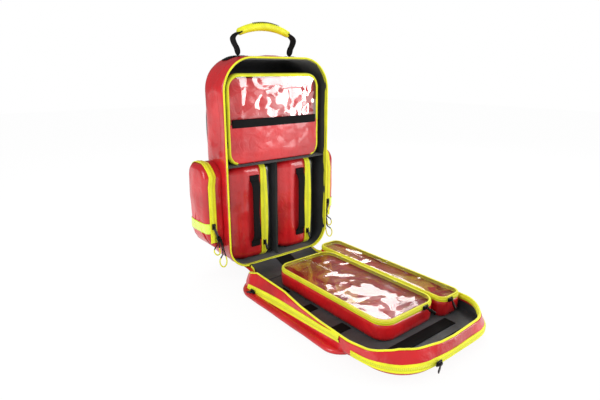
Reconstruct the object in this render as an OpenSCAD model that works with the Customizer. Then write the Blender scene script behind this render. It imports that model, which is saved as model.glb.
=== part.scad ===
// Trauma backpack, standing open: the front panel is folded down onto the floor.
// Millimetres, +Z up, +X to the wearer-facing viewer's right, the opening faces -Y.
// The origin is the middle of the face that the folded-down panel rests on.

/* [Bag] */
// Width of the bag and of its front panel
body_w = 312; // [280:1:380]
// Height of the bag, which is also the length of the front panel
body_h = 512; // [440:1:620]
// Depth of the main compartment
body_d = 128; // [108:1:170]
// Height of the bag's underside above the floor
base_z = 30; // [26:1:40]
// Radius of the upper corners of the opening
top_r = 80; // [50:1:90]
// Radius of the lower corners of the opening
bottom_r = 58; // [40:1:70]
// Radius of the upright edges at the back
back_r = 50; // [30:1:60]
// Radius of the top edge at the back
top_back_r = 40; // [25:1:50]
// Radius of the bottom edge at the back
low_back_r = 32; // [20:1:40]
// Thickness of the coated shell fabric and its foam
shell_t = 3; // [2:0.5:5]
// Thickness of the dark lining
lining_t = 1.5; // [1:0.1:2.5]
// Depth of the yellow piping along the edges of the opening
piping_d = 3; // [2:0.5:5]

/* [Front panel] */
// Depth of the front panel
lid_d = 52; // [46:1:64]
// Gap that the fabric hinge bridges at the foot of the bag
hinge_gap = 24; // [23:0.5:30]
// Thickness of the flat pockets under the front panel
pocket_t = 10; // [6:0.5:14]
// Length of the lower flat pocket
lower_pocket_len = 372; // [300:1:390]
// Height of the zip band of the lower flat pocket
pocket_band_h = 16; // [12:1:18]
// Slope of that zip band, which climbs away from the hinge, in degrees
lower_zip_slope = 4.2; // [0:0.1:5]

/* [Pouches on the panel] */
// Left face of the large pouch
large_x = -86; // [-95:1:-70]
// Width of the large pouch
large_w = 164; // [120:1:166]
// Length of the large pouch
large_len = 340; // [240:1:380]
// Width of the small pouch
small_w = 67; // [50:1:68]
// Length of the small pouch
small_len = 392; // [260:1:410]
// Height of both pouches, without their covers
pouch_h = 43; // [34:1:44]
// Wall of every pouch
pouch_t = 3; // [2:0.5:4]
// Height of the zip band round the top of a pouch
pouch_band_h = 9; // [7:0.5:12]
// Thickness of a clear cover
cover_t = 1.2; // [0.8:0.1:2]

/* [Modules in the bag] */
// Height of the shelf's underside above the bag's underside
shelf_h = 257; // [210:1:290]
// Thickness of the shelf
shelf_t = 4; // [3:0.5:8]
// Thickness of the upright divider
divider_t = 12; // [4:0.5:14]
// Middle of the divider
divider_x = -3; // [-8:0.5:4]
// Width of each book-shaped module
module_w = 120; // [90:1:124]
// Depth that the zip ring of a module takes
ring_w = 8; // [6:0.5:12]
// Depth of a module's bulging clear cover
dome_d = 18; // [8:1:22]
// How far the modules stand back from the opening
module_back = 24; // [22:0.5:30]
// Width of the upper module
upper_w = 272; // [200:1:280]
// Height of the upper module
upper_h = 211; // [150:1:214]
// How far the upper module stands back from the opening
upper_back = 18; // [17:0.5:26]

/* [Side pockets] */
// How far a side pocket stands out
side_out = 47; // [30:1:60]
// Length of a side pocket along the bag's side
side_len = 90; // [60:1:92]
// Distance of a side pocket behind the opening
side_back = 28; // [27:1:36]
// Height of a side pocket
side_h = 213; // [160:1:240]
// Height of a side pocket's foot above the bag's underside
side_z = 55; // [45:1:80]
// Width of the zip bands
band_w = 12; // [9:0.5:15]
// Height of the reflective stripe
stripe_h = 26; // [20:1:30]

/* [Carrying] */
// Height of the grip's middle above the top of the bag
grip_h = 68; // [55:1:80]
// Radius of the grip
grip_r = 8.5; // [7:0.5:12]
// Length of the grip
grip_len = 148; // [100:1:150]
// Width of the webbing
webbing_w = 25; // [20:1:30]
// Thickness of the webbing
webbing_t = 2.2; // [1.5:0.1:3]
// Width of a shoulder strap
strap_w = 60; // [45:1:64]
// Thickness of a shoulder strap
strap_t = 12; // [8:1:14]
// Middle of a shoulder strap, from the middle of the bag
strap_x = 72; // [60:1:74]
// Thickness of the back pad
back_pad_t = 15; // [8:1:20]

/* [Hidden] */
$fn = 64;

red = [0.86, 0.13, 0.14];
yellow = [0.93, 0.91, 0.16];
dark = [0.16, 0.18, 0.2];
black = [0.06, 0.06, 0.07];
clear = [0.85, 0.55, 0.55, 0.5];
silver_yellow = [0.85, 0.95, 0.2];

seat = 0.3;                                  // clearance between layers that touch
wall = shell_t + seat + lining_t;            // shell and lining together
piping_w = wall;                             // the piping covers the edges of both layers
fit = wall + seat + 0.2;                     // inset of what stands inside the lining
top_z = base_z + body_h;
panel_floor = pocket_t + seat;               // underside of the panel's floor
tray_z = panel_floor + shell_t + seat + lining_t;    // top of the panel's lining
strip_t = 1.5;                               // thickness of the hook strips
pouch_z = tray_z + strip_t + seat;           // underside of the pouches
cover_z = pouch_z + pouch_h;                 // underside of the clear covers
panel_far = -hinge_gap - body_h;             // far end of the panel
lower_slider_y = -hinge_gap - bottom_r - 20; // middle of the lower flat pocket's slider at rest
large_y = -hinge_gap - 71;                   // hinge end of the large pouch
small_y = -hinge_gap - 30;                   // hinge end of the small pouch
small_x = large_x + large_w + 4;             // left face of the small pouch
inner_w = body_w - 2 * fit;
inner_y = body_d - fit;                      // back of what stands inside the lining
floor_z = base_z + fit;                      // foot of what stands inside the lining
shelf_z = base_z + shelf_h;
upper_z = shelf_z + shelf_t + seat;
upper_x = -2;                                // middle of the upper module
left_x = divider_x - divider_t / 2 - 8 - module_w;
right_x = divider_x + divider_t / 2 + 5;
slider_l = 14;                               // length of a zip slider
slider_w = 9;                                // width of a zip slider
slider_t = 3;                                // thickness of a zip slider
side_zip_x = body_w / 2 + 28;                // middle of a side zip
side_slider_z = base_z + side_z + 62;        // middle of a side slider at rest
pull_len = 26;                               // length of a pull tab
pull_pin_z = side_slider_z - 4;              // height of the pull's pin
pull_tilt = 20;                              // how far a pull leans towards the bag
pull_y = side_back - seat - strip_t - seat - slider_t / 2;
handle_pin_z = top_z + 2 * seat + webbing_t + webbing_w / 2;     // axis that the handle folds about
handle_y = body_d / 2;
book_r = 22;                                 // corner radius of a book-shaped module
cord_d = 2.6;                                // thickness of the pull cord

// The two cord loops of a pull, from the lower end of the tab of the left pull
loop_short = [
    [-4, 0, -1.4], [-6, -1, -7], [-10, -2, -12], [-15, -4, -16], [-18, -5, -22], [-17, -7, -28],
    [-12, -8, -33], [-6, -7, -33], [-3, -6, -28], [-3, -4, -21], [-2, -3, -14], [-1, -1, -7], [-1, 0, -0.3]
];
loop_long = [
    [2, 0, 0.7], [3, -2, -8], [3, -5, -17], [3, -8, -26], [1, -11, -34], [-5, -14, -39], [-10, -16, -46],
    [-10, -18, -54], [-6, -19, -61], [0, -19, -63], [6, -18, -59], [9, -16, -51], [9, -13, -42],
    [8, -10, -34], [7, -8, -26], [7, -5, -17], [6, -2, -8], [5, 0, 1.7]
];

// Everything is drawn with the opening's plane at y = 0 and moved to the frame's origin here.
module in_frame() {
    translate([0, hinge_gap + lower_pocket_len / 2 + 6, 0]) children();
}

// What a rounded corner takes off a square one, with the square corner at the origin.
module corner_cut(r) {
    difference() {
        translate([-1, -1]) square(r + 1);
        translate([r, r]) circle(r);
    }
}

// A rounded plate: x is centred, y runs from 0 to h.
module plate(w, h, low_r, high_r) {
    difference() {
        translate([-w / 2, 0]) square([w, h]);
        for (s = [0, 1]) {
            mirror([s, 0]) translate([-w / 2, 0]) corner_cut(low_r);
            mirror([s, 0]) translate([-w / 2, h]) mirror([0, 1]) corner_cut(high_r);
        }
    }
}

// The opening's outline, moved inwards by an inset.
module outline(inset) {
    translate([0, inset])
        plate(body_w - 2 * inset, body_h - 2 * inset, bottom_r - inset, top_r - inset);
}

// Stands a flat outline up in the XZ plane between two depths.
module stand(y0, y1, z = 0) {
    translate([0, y1, z]) rotate([90, 0, 0]) linear_extrude(y1 - y0) children();
}

// Lays a profile drawn in the YZ plane along X.
module along_x(x0, x1) {
    translate([x0, 0, 0]) rotate([90, 0, 90]) linear_extrude(x1 - x0) children();
}

// The bag's outer form, moved inwards by an inset, from depth y0 backwards.
module bag_form(inset, y0) {
    far = body_d - inset;
    edge_r = back_r - inset;
    intersection() {
        stand(y0, far, base_z) outline(inset);
        linear_extrude(top_z + 1) translate([0, far]) mirror([0, 1])
            plate(body_w, far + 20, edge_r, 1);
        along_x(-body_w, body_w) back_profile(inset);
    }
}

// Side view of the bag's form, with a round upper and lower back edge.
module back_profile(inset) {
    far = body_d - inset;
    high = top_z - inset;
    low = base_z + inset;
    difference() {
        translate([-20, low]) square([far + 20, high - low]);
        translate([far, high]) rotate(180) corner_cut(top_back_r - inset);
        translate([far, low]) mirror([1, 0]) corner_cut(low_back_r - inset);
    }
}

// Draws the panel's outline on the floor plane, with its hinge end at the gap.
module panel_outline(inset) {
    translate([0, -hinge_gap]) mirror([0, 1]) outline(inset);
}

// A flat strip along a path, drawn with even thickness.
function unit(v) = v / norm(v);
function before(p, i) = i == 0 ? unit(p[1] - p[0]) : unit(p[i] - p[i - 1]);
function after(p, i) = i == len(p) - 1 ? before(p, i) : unit(p[i + 1] - p[i]);
function mitre(p, i) = unit(before(p, i) + after(p, i));
function beside(p, i, t) = p[i] + t / (mitre(p, i) * before(p, i)) * [-mitre(p, i)[1], mitre(p, i)[0]];
module ribbon(p, t) {
    n = len(p) - 1;
    polygon(concat(
        [for (i = [0 : n]) beside(p, i, t / 2)],
        [for (i = [n : -1 : 0]) beside(p, i, -t / 2)]
    ));
}

// A round cord along a path of points in space.
function along(p, i) = unit(p[min(i + 1, len(p) - 1)] - p[max(i - 1, 0)]);
function across(p, i) = unit(cross(along(p, i), [0, 1, 0]));
module cord(p, d, sides = 8) {
    n = len(p);
    rings = [for (i = [0 : n - 1]) for (k = [0 : sides - 1])
        let (u = across(p, i), v = cross(along(p, i), u), a = 360 * k / sides)
        p[i] + d / 2 * (cos(a) * u + sin(a) * v)];
    skin = [for (i = [0 : n - 2]) for (k = [0 : sides - 1])
        let (j = (k + 1) % sides)
        [i * sides + k, (i + 1) * sides + k, (i + 1) * sides + j, i * sides + j]];
    ends = [
        [for (k = [0 : sides - 1]) k],
        [for (k = [sides - 1 : -1 : 0]) (n - 1) * sides + k]
    ];
    polyhedron(rings, concat(skin, ends));
}

// A zip slider lying flat: its length runs along Y, and its bridge stands up.
module slider(length = slider_l) {
    translate([-slider_w / 2, -length / 2, 0]) cube([slider_w, length, slider_t * 0.45]);
    translate([-slider_w / 6, -length / 3, slider_t * 0.45])
        cube([slider_w / 3, length * 2 / 3, slider_t * 0.55]);
}

/* Main bag */

module main_shell() {
    color(red) in_frame() difference() {
        bag_form(0, piping_d);
        bag_form(shell_t, -10);
    }
}

module main_lining() {
    color(dark) in_frame() difference() {
        bag_form(shell_t + seat, piping_d);
        bag_form(wall, -10);
    }
}

module main_piping() {
    color(yellow) in_frame() stand(0, piping_d, base_z) difference() {
        outline(0);
        outline(piping_w);
    }
}

module back_pad() {
    color(black) in_frame()
        stand(body_d + seat, body_d + back_pad_t, base_z + 122)
            plate(body_w - 2 * back_r - 4, body_h - 177, 20, 30);
}

module lumbar_pad() {
    color(black) in_frame() stand(body_d + seat, body_d + 30, 0) plate(144, base_z + 82, 6, 18);
}

// Middle line of a shoulder strap in the YZ plane, from the top of the back pad downwards
pad_y = body_d + back_pad_t + seat + strap_t / 2;
strap_path = [
    [pad_y, top_z - 50], [pad_y, top_z - 76], [pad_y + 8, top_z - 88], [pad_y + 26, top_z - 102],
    [pad_y + 40, top_z - 124], [pad_y + 46, top_z - 158], [pad_y + 46, top_z - 204],
    [pad_y + 40, top_z - 245], [pad_y + 28, top_z - 285], [pad_y + 14, top_z - 318]
];
strap_end = strap_path[len(strap_path) - 1];
lock_h = 30;                                 // height of a ladder lock
lock_w = 34;                                 // width of a ladder lock
lock_t = 6;                                  // thickness of a ladder lock
lock_y = strap_end[0];
lock_z = strap_end[1] - lock_h / 2 - 1.6;
web_foot_z = base_z + 86;                    // where the lower strap is sewn in

module shoulder_strap(side) {
    color(black) in_frame()
        along_x(side * strap_x - strap_w / 2, side * strap_x + strap_w / 2) ribbon(strap_path, strap_t);
}

module shoulder_strap_left() {
    shoulder_strap(-1);
}

module shoulder_strap_right() {
    shoulder_strap(1);
}

module ladder_locks() {
    color(black) in_frame() for (s = [-1, 1]) {
        translate([s * strap_x, lock_y, lock_z]) difference() {
            cube([lock_w, lock_t, lock_h], center = true);
            for (z = [-lock_h / 4, lock_h / 4]) {
                translate([0, 0, z]) cube([webbing_w + 2, lock_t + 2, 4], center = true);
            }
        }
    }
}

module lower_straps() {
    foot_y = body_d + seat + webbing_t / 2;
    path = [
        [lock_y, lock_z - lock_h / 2 - seat], [lock_y - 3, lock_z - lock_h / 2 - 20],
        [foot_y + 20, web_foot_z + 34], [foot_y + 4, web_foot_z + 18],
        [foot_y, web_foot_z + 12], [foot_y, web_foot_z]
    ];
    color(black) in_frame() for (s = [-1, 1]) {
        middle = s * strap_x;
        along_x(middle - webbing_w / 2, middle + webbing_w / 2) ribbon(path, webbing_t);
    }
}

module handle_anchors() {
    reach = 58;
    color(black) in_frame() for (s = [-1, 1]) {
        intersection() {
            stand(handle_y - webbing_w / 2, handle_y + webbing_w / 2, base_z) difference() {
                outline(-seat - webbing_t);
                outline(-seat);
            }
            translate([s * (body_w / 2 - 69), handle_y, top_z])
                cube([reach, body_d, 120], center = true);
        }
    }
}

module shelf() {
    color([0.36, 0.38, 0.4]) in_frame() intersection() {
        translate([-body_w / 2, piping_d + 10, shelf_z]) cube([body_w, body_d, shelf_t]);
        bag_form(fit, -1);
    }
}

module divider() {
    color(dark) in_frame() intersection() {
        translate([divider_x - divider_t / 2, piping_d + 10, base_z])
            cube([divider_t, body_d, shelf_h - seat]);
        bag_form(fit, -1);
    }
}

module hinge_gusset() {
    w = body_w - 2 * bottom_r + 20;
    color(black) in_frame()
        translate([-w / 2, -hinge_gap + seat, base_z - 3.5]) cube([w, hinge_gap + 26, 3.5 - seat]);
}

module main_zip_sliders() {
    color(black) in_frame() for (s = [-1, 1]) {
        translate([s * (body_w / 2 - bottom_r), 0, base_z + piping_w / 2])
            rotate([90, 0, 0]) rotate([0, 0, 90]) scale(0.6) slider();
    }
}

/* Side pockets, drawn on the left and mirrored for the right */

module on_side(side) {
    mirror([side > 0 ? 1 : 0, 0, 0]) children();
}

module side_pocket(side) {
    x = body_w / 2 + seat;
    low = base_z + side_z;
    color(red) in_frame() on_side(side) intersection() {
        translate([0, 0, low]) linear_extrude(side_h) translate([-x, side_back]) rotate(90)
            translate([side_len / 2, 0]) plate(side_len, side_out, 1, 14);
        stand(0, body_d, low) translate([-x, 0]) pocket_front();
    }
}

// Front view of a side pocket: round above, drawn in below.
module pocket_front() {
    difference() {
        polygon([
            [0, 0], [0, side_h], [-side_out, side_h],
            [-side_out, 44], [-side_out + 16, 12], [-side_out + 26, 0]
        ]);
        translate([-side_out, side_h]) mirror([0, 1]) corner_cut(34);
    }
}

module side_pocket_left() {
    side_pocket(-1);
}

module side_pocket_right() {
    side_pocket(1);
}

module side_zips() {
    low = base_z + side_z + 24;
    high = base_z + side_z + side_h - 36;
    color(yellow) in_frame() for (s = [-1, 1]) {
        on_side(s) translate([-side_zip_x - band_w / 2, side_back - seat - strip_t, low])
            cube([band_w, strip_t, high - low]);
    }
}

module reflective_stripes() {
    low = base_z + side_z + 44;
    x = body_w / 2 + seat + side_out + seat;
    color(silver_yellow) in_frame() for (s = [-1, 1]) {
        on_side(s) translate([-x - strip_t, side_back + 16, low])
            cube([strip_t, side_len - 34, stripe_h]);
    }
}

module side_slider(side) {
    color(black) in_frame() on_side(side)
        translate([-side_zip_x, side_back - seat - strip_t - seat, side_slider_z])
            rotate([90, 0, 0]) slider();
}

module side_slider_left() {
    side_slider(-1);
}

module side_slider_right() {
    side_slider(1);
}

module side_pull(side) {
    y = pull_y - slider_t;
    color([0.3, 0.3, 0.33]) in_frame() on_side(side)
        translate([-side_zip_x, y, pull_pin_z]) rotate([0, -pull_tilt, 0]) {
            translate([-3, -1, -pull_len]) cube([6, 2, pull_len]);
            translate([-6, -3, -pull_len - 7]) cube([12, 6, 7]);
        }
}

module side_pull_left() {
    side_pull(-1);
}

module side_pull_right() {
    side_pull(1);
}

module pull_loops(side) {
    drop = pull_len + 7;
    start = [
        -side_zip_x + drop * sin(pull_tilt), pull_y - slider_t, pull_pin_z - drop * cos(pull_tilt) - 4 * seat
    ];
    color(yellow) in_frame() on_side(side) translate(start) {
        cord(loop_short, cord_d);
        cord(loop_long, cord_d);
    }
}

module pull_loops_left() {
    pull_loops(-1);
}

module pull_loops_right() {
    pull_loops(1);
}

/* Carry handle */

module handle_grip() {
    rise = 6;
    bend = (pow(grip_len / 2, 2) + rise * rise) / (2 * rise);
    half = asin(grip_len / 2 / bend);
    color(yellow) in_frame() translate([0, handle_y, top_z + grip_h - bend]) rotate([90, 0, 0])
        rotate([0, 0, 90 - half]) rotate_extrude(angle = 2 * half) translate([bend, 0]) circle(grip_r);
}

module handle_webbing() {
    end_z = top_z + grip_h - 6;
    half = grip_len / 2;
    path = [
        [half + 1, end_z], [half + 7, end_z - 2], [half + 14, end_z - 10], [half + 14, end_z - 18],
        [half + 9, end_z - 30], [half + 4, end_z - 44], [half + 2, handle_pin_z - webbing_w / 2]
    ];
    color(black) in_frame() for (s = [0, 1]) {
        mirror([s, 0, 0]) intersection() {
            stand(handle_y - webbing_w, handle_y + webbing_w) ribbon(path, webbing_t);
            along_x(0, body_w) translate([handle_y, handle_pin_z - webbing_w / 2])
                plate(webbing_w, grip_h, webbing_w / 2, 1);
        }
    }
}

/* Modules inside the bag */

// A zipped box: outline in the XZ plane, open towards -Y.
module upper_outline(inset) {
    translate([upper_x, upper_z + inset])
        plate(upper_w - 2 * inset, upper_h - 2 * inset, 30 - inset, 34 - inset);
}

module upper_module_body() {
    front = upper_back + pouch_band_h;
    color(red) in_frame() difference() {
        intersection() {
            stand(front, inner_y) upper_outline(0);
            bag_form(fit, -1);
        }
        intersection() {
            stand(front - 1, inner_y - pouch_t) upper_outline(pouch_t);
            bag_form(fit + pouch_t, -2);
        }
    }
}

module upper_module_zip() {
    color(yellow) in_frame() stand(upper_back, upper_back + pouch_band_h) difference() {
        upper_outline(0);
        upper_outline(pouch_t);
    }
}

strip_z = upper_z + upper_h * 0.42;          // foot of the webbing across the upper module
module upper_cover_part(z0, z1) {
    intersection() {
        stand(upper_back - cover_t, upper_back - 0.1) upper_outline(2);
        translate([-body_w, -body_d, z0]) cube([2 * body_w, 3 * body_d, z1 - z0]);
    }
}

module upper_module_window() {
    color(clear) in_frame() upper_cover_part(strip_z + 10, top_z);
}

module upper_module_panel() {
    color(red) in_frame() upper_cover_part(upper_z - 10, strip_z + 10);
}

module upper_module_strip() {
    w = upper_w - 20;
    color(black) in_frame() translate([upper_x - w / 2, upper_back - cover_t - seat - strip_t, strip_z])
        cube([w, strip_t, 20]);
}

module upper_module_slider() {
    color(black) in_frame()
        translate([upper_x - upper_w / 2 - 0.2, upper_back + pouch_band_h / 2, upper_z + 50])
            rotate([0, -90, 0]) rotate([0, 0, 90]) slider();
}

// Side view of a book-shaped module in the YZ plane, moved inwards by an inset
module book(inset) {
    deep = inner_y - module_back;
    high = shelf_z - seat - floor_z;
    r = book_r - inset;
    translate([module_back + deep / 2, floor_z + inset])
        plate(deep - 2 * inset, high - 2 * inset, r, r);
}

// A slice of a module between two widths, kept inside the bag's lining
module book_slice(x0, x1, inset) {
    intersection() {
        along_x(x0, x1) book(inset);
        bag_form(fit + inset, -1 - inset);
    }
}

module module_body(x) {
    far = x + module_w - ring_w - dome_d;
    color(red) in_frame() difference() {
        book_slice(x, far, 0);
        book_slice(x + pouch_t, far + 1, pouch_t);
    }
}

module module_zip(x) {
    start = x + module_w - ring_w - dome_d;
    color(yellow) in_frame() difference() {
        book_slice(start, start + ring_w, 0);
        book_slice(start - 1, start + ring_w + 1, pouch_t);
    }
}

module module_cover(x) {
    start = x + module_w - dome_d;
    color([0.2, 0.2, 0.22, 0.6]) in_frame() difference() {
        book_slice(start, start + dome_d, 1);
        book_slice(start - 1, start + dome_d - cover_t, 1 + cover_t);
    }
}

module module_handle(x) {
    y = module_back - seat - webbing_t / 2;
    low = floor_z + 50;
    high = shelf_z - 42;
    path = [
        [y, low - 12], [y, low], [y - 8, low + 9], [y - 9, (low + high) / 2],
        [y - 8, high - 9], [y, high], [y, high + 12]
    ];
    middle = x + module_w - ring_w - dome_d - 24;
    color(black) in_frame() along_x(middle - webbing_w / 2, middle + webbing_w / 2) ribbon(path, webbing_t);
}

module module_slider(x) {
    color(black) in_frame()
        translate([x + module_w - dome_d - ring_w / 2, module_back - seat, floor_z + 40])
            rotate([90, 0, 0]) slider();
}

module module_left_body() {
    module_body(left_x);
}

module module_left_zip() {
    module_zip(left_x);
}

module module_left_cover() {
    module_cover(left_x);
}

module module_left_handle() {
    module_handle(left_x);
}

module module_left_slider() {
    module_slider(left_x);
}

module module_right_body() {
    module_body(right_x);
}

module module_right_zip() {
    module_zip(right_x);
}

module module_right_cover() {
    module_cover(right_x);
}

module module_right_handle() {
    module_handle(right_x);
}

module module_right_slider() {
    module_slider(right_x);
}

/* Front panel, folded down */

module panel_shell() {
    color(red) in_frame() difference() {
        translate([0, 0, panel_floor]) linear_extrude(lid_d - piping_d - panel_floor) panel_outline(0);
        translate([0, 0, panel_floor + shell_t]) linear_extrude(lid_d) panel_outline(shell_t);
        hinge_dip();
    }
}

// The panel's wall rises from the hinge, where the lining runs through, to its full height.
module hinge_dip() {
    low = base_z - 4;
    near = -hinge_gap - 8;
    far = -hinge_gap - bottom_r - 10;
    along_x(-body_w, body_w)
        polygon([[0, low], [near, low], [far, lid_d], [far, lid_d + 1], [0, lid_d + 1]]);
}

module panel_lining() {
    color(dark) in_frame() difference() {
        translate([0, 0, panel_floor + shell_t + seat])
            linear_extrude(lid_d - piping_d - panel_floor - shell_t - seat) panel_outline(shell_t + seat);
        translate([0, 0, tray_z]) linear_extrude(lid_d) panel_outline(wall);
        hinge_dip();
    }
}

module panel_piping() {
    color(yellow) in_frame() difference() {
        translate([0, 0, lid_d - piping_d]) linear_extrude(piping_d) difference() {
            panel_outline(0);
            panel_outline(piping_w);
        }
        hinge_dip();
    }
}

module flat_pocket(y0, y1, inset) {
    intersection() {
        linear_extrude(pocket_t) panel_outline(inset);
        translate([-body_w, y0, -1]) cube([2 * body_w, y1 - y0, pocket_t + 2]);
    }
}

module lower_flat_pocket() {
    color(red) in_frame() flat_pocket(-hinge_gap - 6 - lower_pocket_len, -hinge_gap - 6, 1);
}

module top_flat_pocket() {
    color(red) in_frame() flat_pocket(panel_far, -hinge_gap - 6 - lower_pocket_len - seat, 4);
}

// Zip bands on the outside of the panel's wall: y0 is a band's far end and y1 its hinge end, z0 and z1 are the
// heights of its foot there, and h is its width.
module wall_band(y0, y1, z0, z1, h) {
    intersection() {
        linear_extrude(lid_d) difference() {
            panel_outline(-seat - strip_t);
            panel_outline(-seat);
        }
        along_x(-body_w, body_w) polygon([[y0, z0], [y1, z1], [y1, z1 + h], [y0, z0 + h]]);
    }
}

// Height of the middle of the lower flat pocket's zip, which climbs away from the hinge.
function lower_zip_z(y) = panel_floor + 8 + (lower_slider_y - y) * tan(lower_zip_slope);

module flat_pocket_zips() {
    far = -hinge_gap - 6 - lower_pocket_len;
    near = -hinge_gap - bottom_r / 2;
    top_foot = panel_floor + 10;
    color(yellow) in_frame() {
        wall_band(
            far, near, lower_zip_z(far) - pocket_band_h / 2, lower_zip_z(near) - pocket_band_h / 2, pocket_band_h
        );
        wall_band(panel_far - 5, far - 6, top_foot, top_foot, band_w);
    }
}

module lower_pocket_slider() {
    color(black) in_frame()
        translate([-body_w / 2 - 2 * seat - strip_t, lower_slider_y, lower_zip_z(lower_slider_y)])
            rotate([0, -90, 0]) slider();
}

module top_pocket_slider() {
    color(black) in_frame() translate([
        -body_w / 2 + top_r + 16, panel_far - seat - strip_t - seat, panel_floor + 10 + band_w / 2
    ]) rotate([90, 0, 0]) rotate([0, 0, 90]) slider();
}

module hook_strips() {
    w = 50;
    color(black) in_frame() {
        for (y = [-130, -230, -330]) {
            translate([-body_w / 2 + 16, y - hinge_gap, tray_z + 0.05]) cube([w, 25, strip_t]);
        }
        for (y = [-448, -492]) {
            translate([-90, y - hinge_gap, tray_z + 0.05]) cube([180, 25, strip_t]);
        }
        translate([large_x + 20, large_y - large_len + 20, tray_z + 0.05]) cube([large_w - 40, 30, strip_t]);
        translate([large_x + 20, large_y - 50, tray_z + 0.05]) cube([large_w - 40, 30, strip_t]);
        translate([small_x + 12, small_y - small_len + 20, tray_z + 0.05]) cube([small_w - 24, 30, strip_t]);
        translate([small_x + 12, small_y - 50, tray_z + 0.05]) cube([small_w - 24, 30, strip_t]);
    }
}

/* Pouches on the front panel */

// Plan view of a pouch: x0 is its left face, y1 its hinge end.
module pouch_plan(x0, y1, w, len, r, inset) {
    translate([x0 + w / 2, y1 - inset]) mirror([0, 1])
        plate(w - 2 * inset, len - 2 * inset, r - inset, r - inset);
}

module pouch_body(x0, y1, w, len, r) {
    color(red) in_frame() difference() {
        translate([0, 0, pouch_z]) linear_extrude(pouch_h - pouch_band_h) pouch_plan(x0, y1, w, len, r, 0);
        translate([0, 0, pouch_z + pouch_t]) linear_extrude(pouch_h) pouch_plan(x0, y1, w, len, r, pouch_t);
    }
}

module pouch_zip(x0, y1, w, len, r) {
    color(yellow) in_frame() translate([0, 0, cover_z - pouch_band_h])
        linear_extrude(pouch_band_h) difference() {
            pouch_plan(x0, y1, w, len, r, 0);
            pouch_plan(x0, y1, w, len, r, pouch_t);
        }
}

module pouch_cover(x0, y1, w, len, r) {
    color(clear) in_frame() translate([0, 0, cover_z + 0.1]) linear_extrude(cover_t)
        pouch_plan(x0, y1, w, len, r, 2);
}

module large_pouch_body() {
    pouch_body(large_x, large_y, large_w, large_len, 32);
}

module large_pouch_zip() {
    pouch_zip(large_x, large_y, large_w, large_len, 32);
}

module large_pouch_cover() {
    pouch_cover(large_x, large_y, large_w, large_len, 32);
}

module small_pouch_body() {
    pouch_body(small_x, small_y, small_w, small_len, 20);
}

module small_pouch_zip() {
    pouch_zip(small_x, small_y, small_w, small_len, 20);
}

module small_pouch_cover() {
    pouch_cover(small_x, small_y, small_w, small_len, 20);
}

module pouch_slider(x, y) {
    color(black) in_frame() translate([x, y - 0.2, cover_z - pouch_band_h / 2])
        rotate([90, 0, 0]) rotate([0, 0, 90]) slider(12);
}

module large_pouch_slider() {
    pouch_slider(large_x + large_w - 42, large_y - large_len);
}

module small_pouch_slider() {
    pouch_slider(small_x + 22, small_y - small_len);
}

main_shell();
main_lining();
main_piping();
back_pad();
lumbar_pad();
shoulder_strap_left();
shoulder_strap_right();
lower_straps();
ladder_locks();
handle_anchors();
shelf();
divider();
hinge_gusset();
main_zip_sliders();
side_pocket_left();
side_pocket_right();
side_zips();
reflective_stripes();
upper_module_body();
upper_module_zip();
upper_module_window();
upper_module_panel();
upper_module_strip();
module_left_body();
module_left_zip();
module_left_cover();
module_left_handle();
module_right_body();
module_right_zip();
module_right_cover();
module_right_handle();
handle_grip();
handle_webbing();
panel_shell();
panel_lining();
panel_piping();
lower_flat_pocket();
top_flat_pocket();
flat_pocket_zips();
hook_strips();
large_pouch_body();
large_pouch_zip();
large_pouch_cover();
small_pouch_body();
small_pouch_zip();
small_pouch_cover();
side_slider_left();
side_slider_right();
side_pull_left();
side_pull_right();
pull_loops_left();
pull_loops_right();
lower_pocket_slider();
top_pocket_slider();
large_pouch_slider();
small_pouch_slider();
module_left_slider();
module_right_slider();
upper_module_slider();
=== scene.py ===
"""Looks of a trauma backpack, standing open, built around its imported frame.

Lengths in the classes are millimetres, measured from the opening of the bag: +X to the right,
+Y into the bag and +Z up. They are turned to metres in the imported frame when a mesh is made.
"""

import logging
import math
from dataclasses import dataclass, field
from enum import Enum
from typing import Any, Callable, Sequence

import bmesh
import bpy
import numpy as np
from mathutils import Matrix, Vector
from mathutils.bvhtree import BVHTree


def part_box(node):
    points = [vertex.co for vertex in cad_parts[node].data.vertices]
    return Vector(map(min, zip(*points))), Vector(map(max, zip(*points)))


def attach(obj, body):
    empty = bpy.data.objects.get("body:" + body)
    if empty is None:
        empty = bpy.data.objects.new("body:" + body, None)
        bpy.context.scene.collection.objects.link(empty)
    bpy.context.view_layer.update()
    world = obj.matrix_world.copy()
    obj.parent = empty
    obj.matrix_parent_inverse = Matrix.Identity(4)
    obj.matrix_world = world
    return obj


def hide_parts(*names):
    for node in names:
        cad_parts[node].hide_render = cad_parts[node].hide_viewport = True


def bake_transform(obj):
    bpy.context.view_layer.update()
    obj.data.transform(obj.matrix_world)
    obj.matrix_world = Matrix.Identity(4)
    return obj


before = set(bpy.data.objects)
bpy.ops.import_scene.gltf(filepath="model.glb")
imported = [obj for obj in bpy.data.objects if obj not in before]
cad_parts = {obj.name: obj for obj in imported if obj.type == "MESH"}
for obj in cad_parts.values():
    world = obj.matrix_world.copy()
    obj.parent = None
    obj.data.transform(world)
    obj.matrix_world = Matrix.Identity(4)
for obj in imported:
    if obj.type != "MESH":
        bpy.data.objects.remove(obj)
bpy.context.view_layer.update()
log = logging.getLogger("backpack")

OPENING_Y = 216.0  # the opening lies this far behind the frame's origin
Profile = Sequence[tuple[float, float]]
Points = np.ndarray
Picker = Callable[[int, int], int]  # the finish's number, from row and column
Tree = bpy.types.NodeTree
Socket = bpy.types.NodeSocket


class Side(Enum):
    """The two sides of the bag, as the sign of their X."""

    LEFT = -1
    RIGHT = 1


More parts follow.
